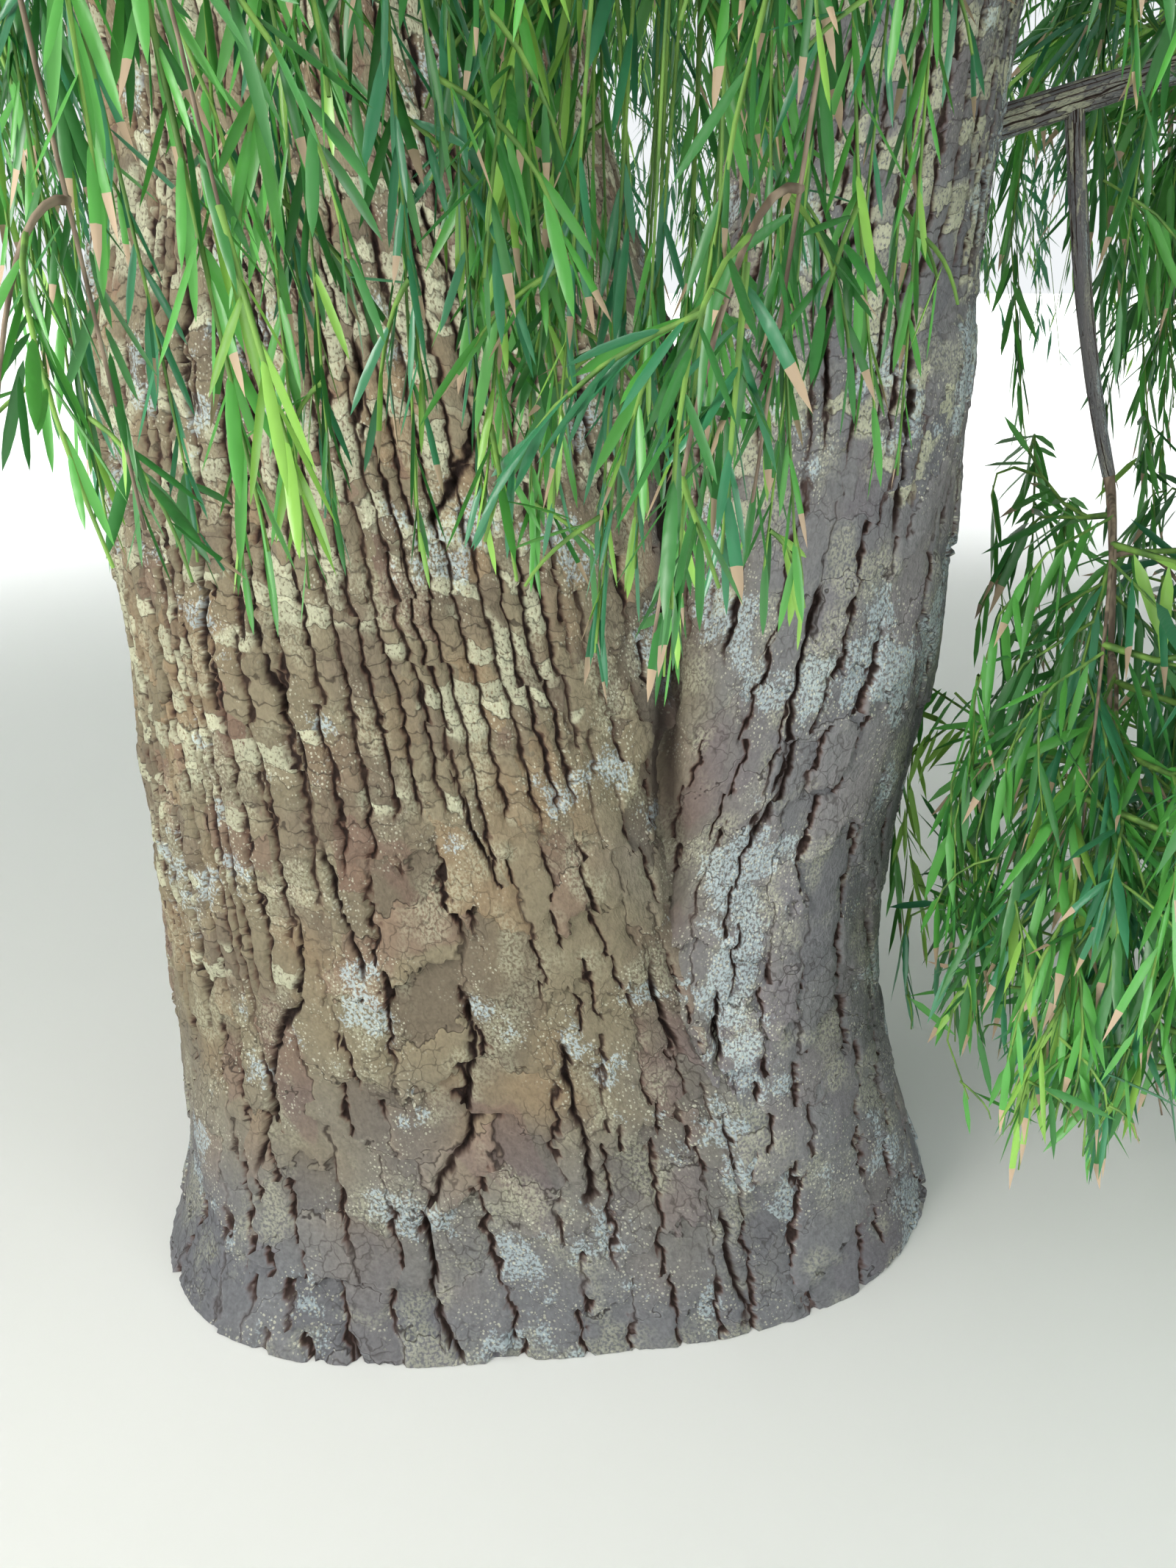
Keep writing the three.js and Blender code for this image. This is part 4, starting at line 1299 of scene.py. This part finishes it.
def twig_piece(name, parts, material, replaced):
    """Twigs of several finenesses joined in one piece, each part a set of bends, its sides and steps."""
    places, faces, start = [], [], 0
    for bends, sides, steps in parts:
        some_places, some_faces = tube_arrays(bends, sides, steps)
        places.append(some_places)
        faces.append(some_faces + start)
        start += len(some_places)
    piece = mesh_object(name, np.concatenate(places), np.concatenate(faces), [material])
    hand_over(piece, replaced)


def branch(parents, rng, space, plan):
    """Finer twigs on alternate hands of their parents, cut shorter until they keep to the space."""
    each = plan["each"]
    order = np.arange(each)[None]
    shares = mix(plan["from"], 1.0, (order + rng.random((len(parents), each))) / each)
    base, forward = parents.at(shares), parents.along(shares)
    level = forward * [1, 1, 0]
    steep = np.linalg.norm(level, axis=-1) < STEEP
    spin = rng.random(shares.shape) * 2 * math.pi
    level[steep] = np.stack([np.cos(spin), np.sin(spin), 0 * spin], -1)[steep]
    hand = np.where((order + rng.integers(0, 2, (len(parents), 1))) % 2, 1, -1)
    out = turned(unit(level), hand * rng.normal(plan["swing"], plan["swing_play"], shares.shape))
    reach = plan["reach"] * mix(1, plan["shorten"], shares) * rng.uniform(*BRANCH_SIZES, shares.shape)
    droop = plan["droop"] * rng.uniform(*BRANCH_DROOPS, shares.shape)
    thick = np.broadcast_to(plan["thick"], shares.shape)
    done = np.zeros(shares.shape, bool)
    tip, shoulder = base.copy(), base.copy()
    for cut in plan["cuts"]:
        length = (reach * cut)[..., None]
        try_tip = base + out * length * plan["spread"] - UP * length * droop[..., None]
        lead = (forward + UP * plan["lift"]) * length * BRANCH_LEAD
        try_shoulder = base + out * length * plan["bend_at"] + lead
        fits = ~done
        for s in BRANCH_CHECKS:
            fits &= space(point_on((base, try_shoulder, try_tip), s))
        tip[fits], shoulder[fits] = try_tip[fits], try_shoulder[fits]
        done |= fits
    dealt = rng.choice(len(TINT_SHARES), shares.shape, p=TINT_SHARES)
    tint = np.where(rng.random(shares.shape) < plan["deal"], dealt, parents.tint[:, None])
    return Bends(base[done], shoulder[done], tip[done], thick[done], plan["thin"], tint[done])


# The masses


def rule_mass(plan):
    """The source's rule: a mass's stem, its twigs and its hanging sprays, as three sets of bends."""
    draw = seeded_random(plan["seed"])
    space, scale = plan["space"], plan["scale"]
    stem = (plan["root"], plan["shoulder"], plan["tip"])
    twigs, sprays = [], []

    def hang(forward):
        heading = forward * SPRAY_FORWARD - UP * plan["weep"]
        heading[0] += (draw() - 0.5) * SPRAY_SWAY
        heading[1] += (draw() - 0.5) * SPRAY_SWAY
        return unit(heading)

    def add_spray(base, heading, size):
        for cut in TWIG_CUTS:
            tip = base + heading * SPRAY_LENGTH * scale * size * cut
            if space(tip):
                sprays.append((base, mix(base, tip, 0.5), tip))
                return

    def add_twig(share, hand):
        base, forward = on_limb(stem, STEM_STEPS, share)
        out = forward * [1, 1, 0]
        if np.linalg.norm(out) < 0.2:
            out = plan["outward"]
        swing = math.radians(mix(*TWIG_SWING, share) + (draw() - 0.5) * TWIG_SWING_PLAY)
        out = turned(unit(out), hand * swing)
        reach = plan["reach"] * mix(1, TWIG_SHORTENING, share) * mix(*TWIG_SIZES, draw())
        droop = plan["droop"] * mix(*TWIG_DROOPS, draw())
        for cut in TWIG_CUTS:
            tip = base + out * reach * cut - UP * droop * reach * cut
            shoulder = base + out * reach * cut * TWIG_BEND_AT + UP * reach * cut * plan["lift"]
            curve = (base, shoulder, tip)
            if not all(space(point_on(curve, at)) for at in TWIG_CHECKS):
                continue
            twigs.append(curve)
            for station in SPRAY_STATIONS:
                point, way = on_limb(curve, TWIG_STEPS, station)
                heading = hang(way)
                draw(), draw()
                add_spray(point, heading, mix(*SPRAY_SIZES, draw()))
            point, way = on_limb(curve, TWIG_STEPS, 1)
            add_spray(point, way, mix(*SPRAY_SIZES, draw()))
            return

    count = plan.get("twigs", TWIGS)
    for i in range(count):
        add_twig(mix(*TWIG_SPREAD, i / (count - 1)), 1 if i % 2 else -1)
    point, way = on_limb(stem, STEM_STEPS, 1)
    add_spray(point, way, 1)
    stem_bend = Bends(*stem, STEM_RADIUS * plan["stem_scale"], STEM_END_RADIUS * scale * STEM_TIP_SHARE)
    thick, thin = TWIG_RADIUS * scale * TWIG_SHARE, TWIG_END_RADIUS * scale * TWIG_TIP_SHARE
    twig_bends = Bends(*zip(*twigs), thick, thin)
    spray_bends = Bends(*zip(*sprays), SPRAY_RADIUS * scale**0.5, SPRAY_END_RADIUS * scale**0.5)
    return stem_bend, twig_bends, spray_bends


def mass_at_tip(curve, plan):
    """A mass starts where its limb ends, and goes on the way that the limb points."""
    forward = UP if plan.get("upright") else tangent_on(curve, 1)
    root = point_on(curve, 1) + forward * GAP
    return {"stem_scale": 1, **plan, "root": root, "shoulder": root + forward * plan["start"]}


def nearest_carrier(carriers, tip, z):
    standing = [carriers["left"], carriers["right"]]
    if z > LEADER_CLEAR_FROM:
        standing.append(carriers["back"])
    away = [np.hypot(*(point_on(curve, share_at(curve, z)) - tip)[:2]) for curve in standing]
    return standing[int(np.argmin(away))]


def plan_crown():
    """The uprights, the boughs and every mass of the crown, worked out as in the source."""
    carriers = {side: curve_of(STEMS[side]) for side in STEMS}
    start = point_on(carriers["left"], LEADER_BACK["from"])
    carriers["back"] = (start, np.array(LEADER_BACK["shoulder"]), np.array(LEADER_BACK["tip"]))
    boughs, masses = {}, {}
    for level, ring in enumerate(RINGS):
        half = math.pi / ring["count"]
        for i in range(ring["count"]):
            middle = math.radians(ring["turn"]) + 2 * math.pi * i / ring["count"]
            outward = bearing(middle)
            tip = outward * ring["tip_radius"] + UP * (ring["tip_height"] + ring["tip_stagger"] * (i % 2))
            leaves = ring["bough_height"] + ring["bough_stagger"] * ((i * 3) % ring["count"])
            carrier = nearest_carrier(carriers, tip, leaves)
            start = point_on(carrier, share_at(carrier, leaves))
            shoulder = mix(start, tip, BOUGH_BEND_AT)
            shoulder[2] = mix(start[2], tip[2], BOUGH_RISE)
            curve = (start, shoulder, tip)
            name = f"{ring['name']}_{i + 1}"
            boughs[f"bough_{name}"] = (curve, taper(ring["bough_thick"], BOUGH_TIP_RADIUS))
            masses[f"foliage_{name}"] = mass_at_tip(curve, {
                **RING_MASS,
                "seed": 101 + 37 * i + 1009 * level,
                "space": sector_space(middle, half, ring["inner"], ring["floor"], ring["ceiling"]),
                "near_space": sector_space(
                    middle, half + WIDER_BY, ring["inner"] - INNER_BY, ring["floor"] - ring["hang"],
                    ring["ceiling"] + HIGHER_BY, FINE_KEEP,
                ),
                "tip": outward * ring["tail_radius"] + UP * ring["tail_height"],
                "outward": outward,
                "reach": mix(*RING_REACH, (i * RING_REACH_STEP) % 1),
            })
    for top in CROWN_TOPS:
        middle, half = math.radians(top["bearing"]), math.radians(top["half"])
        masses[f"foliage_top_{top['name']}"] = mass_at_tip(carriers[top["name"]], {
            **TOP_MASS,
            "seed": top["seed"],
            "space": sector_space(middle, half, 0, TOP_FLOOR),
            "near_space": sector_space(middle, half + WIDER_BY, 0, TOP_FLOOR - TOP_HANG, None, FINE_KEEP),
            "upright": top["name"] != "back",
            "tip": np.array(top["tip"]),
            "outward": bearing(middle),
        })
    return carriers, boughs, masses


def plan_low(carriers):
    """The low boughs by the trunk and their small masses."""
    boughs, masses = {}, {}

    def hanging_mass(curve, plan):
        front = plan["name"].startswith("front")
        inside = curtain_space if front else box_space
        near_inside = curtain_space if front else beside_space
        return mass_at_tip(curve, {
            **plan,
            "bough": curve,
            "space": inside(*plan["space"]),
            "near_space": near_inside(*plan["near_space"]),
            "tip": np.array(plan["tail"]),
            "outward": bearing(math.radians(plan["outward"])),
            "lift": LOW_LIFT,
            "stem_scale": plan["thin"] / STEM_RADIUS * LOW_STEM_SHARE,
        })

    for plan in LOW_BOUGHS:
        carrier = carriers[plan["carrier"]]
        start = point_on(carrier, share_at(carrier, plan["height"]))
        tip = np.array(plan["tip"])
        shoulder = mix(start, tip, LOW_BEND_AT)
        shoulder[2] = mix(start[2], tip[2], LOW_RISE)
        curve = (start, shoulder, tip)
        boughs[f"bough_{plan['name']}"] = (curve, taper(plan["thick"], plan["thin"]))
        masses[f"foliage_{plan['name']}"] = hanging_mass(curve, plan)
    carrier = boughs["bough_low_right"][0]
    shoulder, tip = np.array(DROP_BOUGH["shoulder"]), np.array(DROP_BOUGH["tip"])
    curve = (point_on(carrier, DROP_BOUGH["from"]), shoulder, tip)
    boughs["bough_drop_right"] = (curve, taper(DROP_BOUGH["thick"], DROP_BOUGH["thin"]))
    masses["foliage_drop_right"] = hanging_mass(curve, DROP_BOUGH)
    return boughs, masses


# Finer growth, in metres: side twigs, hanging shoots and the size of their leaves
FINE_GROWTH = {"from": 0.15, "bend_at": 0.5, "cuts": (1, 0.7, 0.45), "deal": 1.0}
CROWN_SIDE_TWIGS = {
    **FINE_GROWTH, "each": 9, "from": 0.1, "swing": 0.95, "swing_play": 0.35, "reach": 1.0, "shorten": 0.65,
    "droop": 0.28, "spread": 1.0, "lift": 0.5, "thick": 0.011, "thin": 0.005,
}
CROWN_TOP_TWIGS = {**CROWN_SIDE_TWIGS, "each": 4}
CROWN_SHOOTS = {
    "each": 4, "from": 0.08, "swing": 0.85, "swing_play": 0.5, "reach": 1.1, "shorten": 0.85, "droop": 1.0,
    "spread": 0.42, "bend_at": 0.4, "lift": 0.3, "cuts": (1, 0.7, 0.45, 0.25), "thick": 0.0045,
    "thin": 0.0016, "deal": 0.25,
}
CROWN_LONG_SHOOTS = {
    **CROWN_SHOOTS, "each": 3, "from": 0.3, "reach": 2.6, "spread": 0.16, "cuts": (1, 0.8, 0.6, 0.4),
}
NEAR_SIDE_TWIGS = {
    **FINE_GROWTH, "each": 3, "swing": 0.8, "swing_play": 0.4, "reach": 0.24, "shorten": 0.7, "droop": 0.8,
    "spread": 0.7, "lift": 0.2, "thick": 0.0022, "thin": 0.0012,
}
CURTAIN_TWIGS = {**NEAR_SIDE_TWIGS, "reach": 0.14}
BESIDE_TWIGS = {
    **FINE_GROWTH, "swing": 1.15, "swing_play": 0.35, "reach": 0.75, "shorten": 0.8, "droop": -0.5,
    "spread": 1.0, "lift": 0.3, "thick": 0.005, "thin": 0.002,
}
BESIDE_SHOOTS = {
    **NEAR_SIDE_TWIGS, "each": 4, "reach": 0.5, "droop": 1.0, "spread": 0.35, "shorten": 0.9, "thick": 0.0028,
}
BESIDE_FINE = {**NEAR_SIDE_TWIGS, "each": 1, "reach": 0.16}
# The greatest radii of the near masses' stems, twigs and sprays, at their feet and tips
FRONT_RADII = {"stem": (0.0062, 0.0012), "twigs": (0.0034, 0.0011), "sprays": (0.0026, 0.0011)}
RIGHT_RADII = {"stem": (0.0085, 0.0016), "twigs": (0.0045, 0.0013), "sprays": (0.0028, 0.0012)}
# The outer part of the right bough, on which twigs grow too
OUTER_BOUGH = {"from": 0.35, "bend_at": 0.6, "radii": (0.012, 0.008)}
# How many sides and steps the tubes of each kind have
TUBES = {
    "crown_wood": (6, 6), "crown_twigs": (3, 3), "crown_shoots": (3, 2),
    "front_wood": (7, 10), "front_shoots": (5, 6), "right_wood": (8, 10), "right_shoots": (4, 4),
}
LEAF = {"bare": 0.05, "angle": 0.62, "sag": 0.2, "fresh": 0.12}
CROWN_LEAF_SIZE = {
    **LEAF, "length": 0.168, "width": 0.132, "spacing": 0.039, "angle": 0.72, "weight": 0.75, "dry": 0.0,
}
LONG_SHOOT_SPACING = 0.052
SIDE_TWIG_BARE = 0.3
NEAR_LEAF_SIZE = {
    **LEAF, "length": 0.07, "width": 0.106, "spacing": 0.014, "weight": 0.7, "sag": 0.16, "dry": 0.13,
}
HALF_LEAF_SIZE = {
    **LEAF, "length": 0.112, "width": 0.112, "spacing": 0.02, "weight": 0.95, "fresh": 0.1, "dry": 0.14,
}


def grow_crown_mass(plan, leaves):
    """A crown mass carried to its finest shoots, with its leaves added to a set."""
    rng = np.random.default_rng(plan["seed"])
    stem, twigs, sprays = rule_mass(plan)
    space = plan["near_space"]
    wood = joined(stem, twigs)
    side_twigs = branch(wood, rng, space, CROWN_SIDE_TWIGS)
    sprays = dealt_tints(sprays, rng, sprays.thick, sprays.thin)
    if plan.get("upright"):
        side_twigs = joined(side_twigs, branch(sprays, rng, space, CROWN_TOP_TWIGS))
    shoots = branch(joined(side_twigs, sprays), rng, space, CROWN_SHOOTS)
    long_shoots = branch(joined(side_twigs, wood), rng, space, CROWN_LONG_SHOOTS)
    dress(leaves, joined(shoots, sprays), rng, space, CROWN_LEAF_SIZE)
    dress(leaves, long_shoots, rng, space, {**CROWN_LEAF_SIZE, "spacing": LONG_SHOOT_SPACING})
    dress(leaves, side_twigs, rng, space, {**CROWN_LEAF_SIZE, "bare": SIDE_TWIG_BARE})
    woody = [(wood, *TUBES["crown_wood"]), (side_twigs, *TUBES["crown_twigs"])]
    return woody, [(joined(shoots, long_shoots, sprays), *TUBES["crown_shoots"])]


def curtain_shoots(carriers, rng, space, extra):
    """Shoots that hang from the front masses' twigs down to the hem that the photograph shows."""
    away, sway = HEM_AWAY
    tips = [(px, py - HEM_NOTCH, away + sway * math.sin(px)) for px, py in HEM_TIPS]
    for _ in range(extra):
        in_middle = rng.random() < CURTAIN_MIDDLE_SHARE
        px = rng.normal(*CURTAIN_MIDDLE) if in_middle else rng.uniform(*CURTAIN_SIDES)
        py = hem_at(px) - HEM_NOTCH * CURTAIN_EDGE - rng.random() * CURTAIN_DEPTH
        tips.append((px, py, rng.uniform(*CURTAIN_AWAY)))
    steps = np.broadcast_to(np.linspace(0.1, 1, 10), (len(carriers), 10))
    feet = carriers.at(steps).reshape(-1, 3)
    feet = feet[feet[:, 2] > LOWEST_FOOT]
    roots, shoulders, ends, tints = [], [], [], []
    for px, py, away in tips:
        tip = seen_at(px, py, away)
        if not space(tip[None])[0]:
            continue
        away_from = np.linalg.norm((feet - tip)[:, :2], axis=1)
        foot = feet[np.argmin(away_from + 0.3 * rng.random(len(feet)))]
        roots.append(foot)
        shoulder = mix(foot, tip, CURTAIN_BEND)
        shoulders.append(shoulder + rng.normal(0, CURTAIN_BEND_PLAY, 3) * CURTAIN_PLAY)
        ends.append(tip)
        tints.append(rng.choice(len(TINT_SHARES), p=TINT_SHARES))
    return Bends(roots, shoulders, ends, *CURTAIN_RADII, tints)


def dealt_tints(bends, rng, thick, thin):
    tints = rng.choice(len(TINT_SHARES), len(bends), p=TINT_SHARES)
    return bends.changed(thick=thick, thin=thin, tint=tints)


def cut_to(bends, space):
    """Bends cut shorter until their tips keep to a space, without those that never do."""
    tips, done = bends.tip.copy(), np.zeros(len(bends), bool)
    for cut in SPRAY_CUTS:
        tip = mix(bends.root, bends.tip, cut)
        fits = ~done & space(tip)
        tips[fits] = tip[fits]
        done |= fits
    return bends.changed(shoulder=mix(bends.root, tips, 0.5), tip=tips).only(done)


def slimmer(bends, thick, thin):
    """Bends with at most a given radius at their feet and tips."""
    return bends.changed(thick=np.minimum(bends.thick, thick), thin=np.minimum(bends.thin, thin))


def near_growth(plan, radii):
    """The random numbers, wood and sprays that a small mass near the trunk starts with."""
    rng = np.random.default_rng(plan["seed"])
    stem, twigs, sprays = rule_mass(plan)
    wood = joined(slimmer(stem, *radii["stem"]), slimmer(twigs, *radii["twigs"]))
    return rng, wood, cut_to(dealt_tints(sprays, rng, *radii["sprays"]), plan["near_space"])


def grow_front_mass(plan, leaves):
    """A small mass that hangs in front of the trunk, with leaves of life size."""
    rng, wood, sprays = near_growth(plan, FRONT_RADII)
    space = plan["near_space"]
    side_twigs = branch(wood, rng, space, NEAR_SIDE_TWIGS)
    hanging = curtain_shoots(wood, rng, space, plan["shoots"])
    side_shoots = branch(hanging, rng, space, CURTAIN_TWIGS)
    green = joined(hanging, side_shoots, sprays, side_twigs)
    dress(leaves, joined(green, cut_to(wood, space)), rng, space, NEAR_LEAF_SIZE)
    return [(wood, *TUBES["front_wood"])], [(green, *TUBES["front_shoots"])]


def grow_right_mass(plan, leaves):
    """A small mass beside the trunk, which also grows along the outer part of its bough."""
    rng, wood, sprays = near_growth(plan, RIGHT_RADII)
    space, bough = plan["near_space"], plan["bough"]
    start = point_on(bough, OUTER_BOUGH["from"])
    outer = Bends(start, mix(start, bough[1], OUTER_BOUGH["bend_at"]), bough[2], *OUTER_BOUGH["radii"])
    side_twigs = branch(joined(wood, outer), rng, space, {**BESIDE_TWIGS, "each": plan["twigs_on_bough"]})
    shoots = branch(joined(sprays, side_twigs, wood), rng, space, BESIDE_SHOOTS)
    fine = branch(shoots, rng, space, BESIDE_FINE)
    green = joined(shoots, sprays, side_twigs, fine)
    dress(leaves, green, rng, space, HALF_LEAF_SIZE)
    return [(wood, *TUBES["right_wood"])], [(green, *TUBES["right_shoots"])]


def grow_tier(label, masses, leaf_shape, grow, groups=1):
    """The leaves, twigs and shoots of some masses, with the leaves in a number of pieces."""
    names = list(masses)
    share = math.ceil(len(names) / groups)
    wood, green = [], []
    for group in range(groups):
        some = names[group * share:(group + 1) * share]
        leaves = Leaves(leaf_shape)
        for name in some:
            woody, soft = grow(masses[name], leaves)
            wood += woody
            green += soft
        leaf_piece(f"leaves_{label}_{group + 1}" if groups > 1 else f"leaves_{label}", leaves, some)
    twig_piece(f"twigs_{label}", wood, WOOD, names)
    twig_piece(f"shoots_{label}", green, GREEN_WOOD, names)


# Assembly


def with_word(things, word):
    """Those of some limbs or masses that have a word in their name."""
    return {name: thing for name, thing in things.items() if f"_{word}" in name}


carriers, ring_boughs, crown_masses = plan_crown()
low_boughs, low_masses = plan_low(carriers)

fine_heights = np.arange(0, BARK_TOP + ROW_STEP, ROW_STEP)
for side, lobe in LOBES.items():
    replaced = ["trunk", f"stem_{side}"]
    bark_of_lobe(side, f"bark_trunk_{side}", fine_heights, lobe["columns"], replaced, lobe["kept_faces"])
for side, lobe in LOBES.items():
    heights = mix(BARK_TOP - 0.01, STEMS[side]["tip"][2], np.linspace(0, 1, STEM_ROWS) ** STEM_ROW_POWER)
    bark_of_lobe(side, f"bark_stem_{side}", heights, lobe["stem_columns"], [f"stem_{side}"])

leader = (carriers["back"], taper(LEADER_BACK["thick"], LEADER_BACK["thin"]))
bark_of_limbs("bark_leader", {"leader_back": leader}, LEADER_GRID, LEADER_RELIEF)
for ring in RINGS:
    bark_of_limbs(f"bark_boughs_{ring['name']}", with_word(ring_boughs, ring["name"]), BOUGH_GRID)
bark_of_limbs("bark_boughs_low", low_boughs, LOW_GRID)

for tier in [*RINGS, {"name": "top", "groups": TOP_GROUPS}]:
    masses = with_word(crown_masses, tier["name"])
    grow_tier(tier["name"], masses, FAR_LEAF, grow_crown_mass, tier["groups"])
grow_tier("front", with_word(low_masses, "front"), NEAR_LEAF, grow_front_mass)
beside = {**with_word(low_masses, "low_right"), **with_word(low_masses, "drop_right")}
grow_tier("right", beside, HALF_LEAF, grow_right_mass)


# Camera, floor and light


def make_camera():
    data = bpy.data.cameras.new("camera")
    data.sensor_width = SENSOR
    data.lens = SENSOR * FOCAL_PIXELS / IMAGE_HEIGHT
    data.clip_start, data.clip_end = 0.05, 200
    camera = bpy.data.objects.new("camera", data)
    camera.location = EYE
    camera.rotation_euler = (math.pi / 2 - LOOK_DOWN, 0, 0)
    bpy.context.scene.collection.objects.link(camera)
    bpy.context.scene.camera = camera


FLOOR_HALF = 60
FLOOR_COLOUR = (0.72, 0.71, 0.69, 1)


def make_floor():
    corners = np.array([(-1, -1, 0), (1, -1, 0), (1, 1, 0), (-1, 1, 0)]) * FLOOR_HALF - UP * 0.001
    material, n, shader = new_material("pale_floor")
    n.feed(shader.inputs["Base Color"], FLOOR_COLOUR)
    n.feed(shader.inputs["Roughness"], 0.9)
    mesh_object("floor", corners, np.array([[0, 1, 2, 3]]), [material])


def area_light(name, place, target, size, power, colour):
    data = bpy.data.lights.new(name, "AREA")
    data.shape = "DISK"
    data.size = size
    data.energy = power
    data.color = colour
    light = bpy.data.objects.new(name, data)
    light.location = place
    way = np.array(target, float) - place
    tilt, turn = math.acos(-way[2] / np.linalg.norm(way)), math.atan2(way[0], -way[1]) + math.pi
    light.rotation_euler = (tilt, 0, turn)
    light.visible_camera = False
    bpy.context.scene.collection.objects.link(light)


# The way to the bright side of the studio, and how strong its dim and bright sides are
SOFTBOX_WAY = (-0.42, -0.5, 0.76)
SOFTBOX_STRENGTHS = (0.95, 4.2)
SKY_COLOUR = (0.95, 0.98, 1.0, 1)
LIGHTS = [
    {
        "name": "key", "place": (-1.7, -2.1, 2.1), "target": (0, 0, 0.8), "size": 1.1, "power": 46,
        "colour": (1, 0.98, 0.94),
    },
    {
        "name": "fill", "place": (1.9, -2.3, 1.2), "target": (0.1, 0, 0.7), "size": 1.4, "power": 26,
        "colour": (0.93, 0.97, 1),
    },
]


def make_light():
    bpy.context.scene.view_settings.view_transform = "Standard"
    world = bpy.data.worlds.new("studio")
    world.use_nodes = True
    n = Nodes(world.node_tree)
    way = n.value("ShaderNodeTexCoord", output="Generated")
    facing = n.value("ShaderNodeVectorMath", {0: way, 1: SOFTBOX_WAY}, "Value", operation="DOT_PRODUCT")
    background = world.node_tree.nodes["Background"]
    n.feed(background.inputs["Color"], SKY_COLOUR)
    n.feed(background.inputs["Strength"], n.ramp(facing, 0.2, 0.95, *SOFTBOX_STRENGTHS))
    bpy.context.scene.world = world
    for light in LIGHTS:
        area_light(**light)


make_camera()
make_floor()
make_light()
